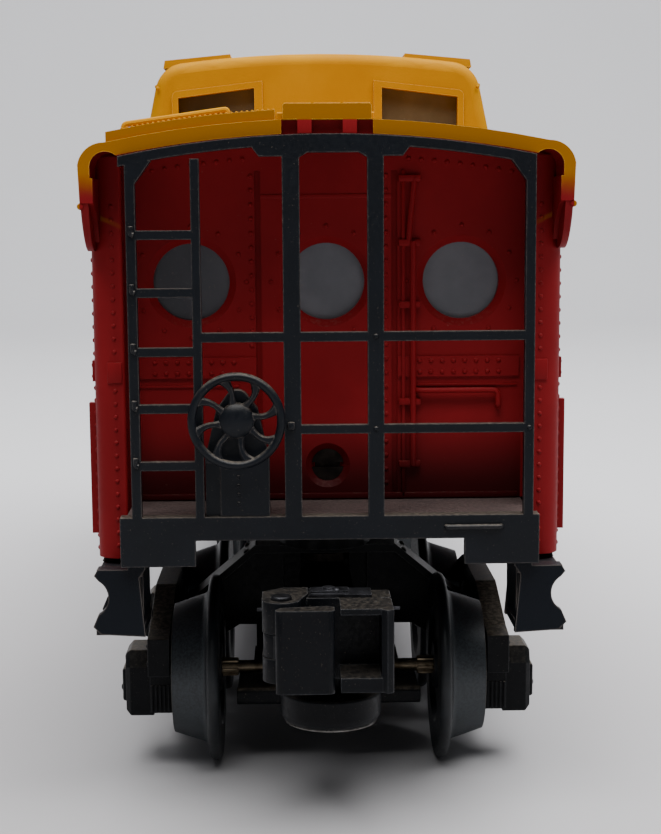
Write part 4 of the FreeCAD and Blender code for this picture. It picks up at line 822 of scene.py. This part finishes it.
def brake_wheel(end):
    """Hand wheel with a round rim, eight bowed flat spokes, a domed hub and its spindle."""
    bm = bmesh.new()
    centre = Vector((BRAKE_X, -SILL_Y - 1.6, BRAKE_Z))
    spokes, inner, outer = 8, 1.3, 4.6
    add_lathe(bm, centre, (0, 1, 0), circle_points(4.92, 0.47, 0.54, 12), 56, hole=True)
    section = ((-1.0, 0.25), (-1.0, -0.1), (-0.6, -0.28), (0.6, -0.28), (1.0, -0.1), (1.0, 0.25))
    for spoke in range(spokes):
        rings = []
        for step in range(9):
            share = step / 8
            reach = inner + (outer - inner) * share
            turn = math.tau * (spoke + 0.4) / spokes - math.radians(9) * math.sin(share * math.pi)
            half = 0.32 + 0.42 * abs(2 * share - 1) ** 2.4
            out = Vector((math.cos(turn), 0.0, math.sin(turn)))
            along = Vector((-math.sin(turn), 0.0, math.cos(turn)))
            middle = centre + out * reach + Vector((0.0, 0.45 * (1 - share), 0.0))
            rings.append([middle + along * (half * across) + Vector((0.0, thick, 0.0))
                          for across, thick in section])
        add_ring_solid(bm, rings)
    hub = [(1.95, -1.3), (1.95, -0.2), (1.7, 0.1), (1.0, 0.32), (0.3, 0.42)]
    add_lathe(bm, centre, (0, -1, 0), hub, 28)
    add_lathe(bm, centre, (0, 1, 0), [(0.7, 0.2), (0.7, 3.5), (0.6, 3.6)], 20)
    body = "brake_wheel_" + end
    item = piece("hand_wheel_" + end, bm, RAILING, body, place=end_place(end))
    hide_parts("brake_wheel_" + end)


# ---- trucks --------------------------------------------------------------------------------------

def add_spring(bm, centre, ring, wire, low, high, turns, sides=6):
    """An upright coil spring of round wire."""
    steps = int(turns * 14)
    line = []
    for step in range(steps + 1):
        share = step / steps
        turn = math.tau * turns * share
        line.append(Vector((centre[0] + ring * math.cos(turn), centre[1] + ring * math.sin(turn),
                            low + (high - low) * share)))
    rings = []
    for index, point in enumerate(line):
        ahead = (line[min(index + 1, steps)] - line[max(index - 1, 0)]).normalized()
        out = Vector((point.x - centre[0], point.y - centre[1], 0)).normalized()
        side = ahead.cross(out).normalized()
        rings.append([point + (out * math.cos(turn) + side * math.sin(turn)) * wire
                      for turn in (math.tau * step / sides for step in range(sides))])
    add_ring_solid(bm, rings)


def side_frame_details(end, side):
    """Springs, journal lids, bolts and ribs on one side frame."""
    bm = bmesh.new()
    face = side * FRAME_OUT
    out = (side, 0, 0)
    for y in (-1.75, 1.75):
        add_spring(bm, (side * (FRAME_OUT - 0.35), y), 1.3, 0.33, 9.6, 16.1, 6)
    for y in (-HALF_BASE, HALF_BASE):
        lid = sorted_box((side * (BOX_OUT - 0.3), y - 2.5, 8.0), (side * (BOX_OUT + 0.45), y + 2.5, 12.2))
        hinge = sorted_box((side * (BOX_OUT - 1.4), y - 1.1, 12.6), (side * (BOX_OUT + 0.2), y + 1.1, 13.7))
        for block in (lid, hinge):
            add_box(bm, *block, 0.3)
        add_dome(bm, (side * (BOX_OUT + 0.45), y, 9.2), out, 0.55, 0.4)
        outer = y + math.copysign(3.85, y)
        for step in range(5):
            x = side * (19.8 + step * 0.52)
            rib = sorted_box((x - 0.13, outer - 0.3, 7.1), (x + 0.13, outer + 0.3, 10.4))
            add_box(bm, *rib, 0.05, 1)
        for z in (13.4, 15.6):
            add_dome(bm, (face, y + math.copysign(4.8, y), z), out, 0.42, 0.3)
    for y in (-5.3, 5.3):
        for z in (7.2, 18.4):
            add_dome(bm, (face, y, z), out, 0.5, 0.35)
    world = side * (-1 if end == "rear" else 1)       # the rear truck is turned round
    name = "side_frame_details_{}_{}".format(end, "right" if world > 0 else "left")
    piece(name, bm, TRUCK_BLACK, "truck_" + end, place=truck_place(end))


def bolster_details(end):
    """Rivets on the bolster's sloping flange, and a plate with two panels in the opening of its web."""
    bm = bmesh.new()
    add_box(bm, (-5.8, 0.5, 16.5), (5.8, 1.1, 23.6), 0.05, 1)
    for side in SIGNS:
        panel = sorted_box((side * 3.2, -0.2, 17.0), (side * 5.7, 0.6, 23.5))
        add_box(bm, *panel, 0.1, 1)
    inner_x, inner_z = 9.3, 24.6         # ends of the slope
    outer_x, outer_z = 19.4, 16.2
    for side in SIGNS:
        out = (0.64 * side, 0, 0.77)
        for share in (0.12, 0.88):
            for y in (-2.2, 2.2):
                x = side * (inner_x + (outer_x - inner_x) * share)
                z = inner_z + (outer_z - inner_z) * share
                add_dome(bm, (x, y, z), out, 0.45, 0.3)
    piece("bolster_details_" + end, bm, BOLSTER, "truck_" + end, place=truck_place(end))


def coupler_details(end):
    """Rivet on top of the coupler head and the thin pin across it."""
    bm = bmesh.new()
    add_dome(bm, (0.6, -40.8, COUPLER_TOP + 0.35), (0, 0, 1), 0.5, 0.45)
    pin_y, pin_z = -42.0, COUPLER_TOP - 1.3
    add_rod(bm, [(HEAD_LOW.x - 0.6, pin_y, pin_z), (HEAD_HIGH.x + 1.0, pin_y, pin_z)], 0.2, sides=8)
    piece("coupler_details_" + end, bm, LEAF, "truck_" + end, place=truck_place(end))


def disc_rim(end):
    """Bright steel ring at the foot of the uncoupling disc, added to give the highlight along the disc's
    rounded lower edge.
    """
    bm = bmesh.new()
    wire = circle_points(5.2, 0.17, 0.17, 8)
    add_lathe(bm, (0, -DISC_Y, DISC_LOW + 0.06), (0, 0, 1), wire, 64, hole=True)
    piece("disc_rim_" + end, bm, BRIGHT, "uncoupling_disc_" + end, place=truck_place(end))


def axle_knurls(number, y):
    """Knurled collars beside the wheels."""
    bm = bmesh.new()
    first, last = 11.25, 13.3            # ends of a collar, from the middle of the axle
    for side in SIGNS:
        rings = []
        for x in (first, 11.4, 13.15, last):
            proud = 0.0 if x in (first, last) else 0.1
            ring = []
            for step in range(48):
                turn = math.tau * step / 48
                radius = 0.98 + (proud + 0.08 if step % 4 < 2 else 0.02)
                ring.append((side * x, y + radius * math.cos(turn), AXLE_Z + radius * math.sin(turn)))
            rings.append(ring)
        add_ring_solid(bm, rings)
    piece(f"axle_knurls_{number}", bm, AXLE, f"wheelset_{number}", angle=20)


for side, name in ((-1, "left"), (1, "right")):
    side_wall_details(side, name)
roof_details()
cupola_details()
for end in ENDS:
    end_wall_rivets(end)
    end_wall_trim(end)
    landing_details(end)
    eave_webs(end)
    railing_details(end)
    stand_details(end)
    brake_wheel(end)
    bolster_details(end)
    coupler_details(end)
    disc_rim(end)
    for side in SIGNS:
        side_frame_details(end, side)
axle_ys = [centre + offset for centre in (-TRUCK_Y, TRUCK_Y) for offset in (-HALF_BASE, HALF_BASE)]
for number, y in enumerate(axle_ys, start=1):
    axle_knurls(number, y)


# ---- stage, light and camera ---------------------------------------------------------------------

def stage_paint():
    """Pale paper with painted shade: a little darker towards the camera and towards the left."""
    paint = Paint("stage_paper")
    cloud = paint.noise(120.0, 2.0)
    x, y = paint.axes()[:2]
    # Painted shade: the paper darkens towards the camera and towards the left.
    away = paint.plus(y, paint.times(x, 0.5))
    far = paint.mix(cloud, srgb(216, 216, 219), srgb(210, 210, 213))
    near_shade = paint.mix(cloud, srgb(168, 166, 167), srgb(162, 160, 162))
    paint.set(Base_Color=paint.mix(paint.spread(away, -190.0, 190.0), near_shade, far), Roughness=0.75)
    return paint.material


def sweep_floor():
    """Floor that curves up into a plain backdrop."""
    half, near, far, bend, top = 1.6, -1.2, 0.75, 0.35, 1.9
    outline = [(near, 0.0), (far, 0.0)]
    outline += [(far + bend * math.sin(turn), bend - bend * math.cos(turn))
                for turn in (math.pi / 2 * step / 12 for step in range(1, 13))]
    outline.append((far + bend, top))
    bm = bmesh.new()
    rows = [[bm.verts.new((x, y, z)) for x in (-half, half)] for y, z in outline]
    for row, following in zip(rows, rows[1:]):
        bm.faces.new((row[0], row[1], following[1], following[0]))
    mesh = bpy.data.meshes.new("floor")
    bm.to_mesh(mesh)
    bm.free()
    mesh.shade_smooth()
    mesh.materials.append(stage_paint())
    floor = bpy.data.objects.new("floor", mesh)
    bpy.context.scene.collection.objects.link(floor)


def area_light(name, spot, target, width, height, watts):
    """A rectangular light at spot, in metres, that faces the target."""
    lamp = bpy.data.lights.new(name, "AREA")
    lamp.shape = "RECTANGLE"
    lamp.size = width
    lamp.size_y = height
    lamp.energy = watts
    item = bpy.data.objects.new(name, lamp)
    item.location = spot
    item.rotation_mode = "QUATERNION"
    item.rotation_quaternion = (Vector(target) - Vector(spot)).to_track_quat("-Z", "Y")
    bpy.context.scene.collection.objects.link(item)


def lights():
    """A big softbox above the near end, a wash on the backdrop and a weak, slightly cool surround."""
    world = bpy.data.worlds.new("studio")
    world.use_nodes = True
    back = world.node_tree.nodes["Background"]
    back.inputs["Color"].default_value = (0.93, 0.95, 1.0, 1.0)
    back.inputs["Strength"].default_value = 0.1
    bpy.context.scene.world = world
    area_light("overhead", spot=(0.08, -0.22, 0.8), target=(0.0, -0.05, 0.0),
               width=1.1, height=0.75, watts=20.2)
    area_light("backdrop_wash", spot=(0.0, 0.45, 1.3), target=(0.0, 1.1, 0.5),
               width=1.6, height=0.4, watts=12.0)


def camera():
    """Looks along the car from in front of its end, a little above the middle and slightly down."""
    aside, stand_off, high = -3.68, 183.0, 67.41      # mm from the middle, the end sill and the floor
    yaw, pitch, roll = math.radians(1.18), math.radians(8.15), math.radians(-0.4)
    ahead = Vector((math.sin(yaw) * math.cos(pitch), math.cos(yaw) * math.cos(pitch), -math.sin(pitch)))
    level = Vector((math.cos(yaw), -math.sin(yaw), 0.0))
    above = level.cross(ahead)
    right = level * math.cos(roll) + above * math.sin(roll)
    up = above * math.cos(roll) - level * math.sin(roll)
    lens = bpy.data.cameras.new("camera")
    lens.sensor_width = 36.0
    lens.lens = 71.7
    lens.shift_y = 0.048
    lens.clip_start = 0.01
    item = bpy.data.objects.new("camera", lens)
    spot = Vector((aside, -SILL_Y - stand_off, high)) * MM
    item.matrix_world = Matrix((
        (right.x, up.x, -ahead.x, spot.x),
        (right.y, up.y, -ahead.y, spot.y),
        (right.z, up.z, -ahead.z, spot.z),
        (0.0, 0.0, 0.0, 1.0)))
    bpy.context.scene.collection.objects.link(item)
    bpy.context.scene.camera = item


sweep_floor()
lights()
camera()
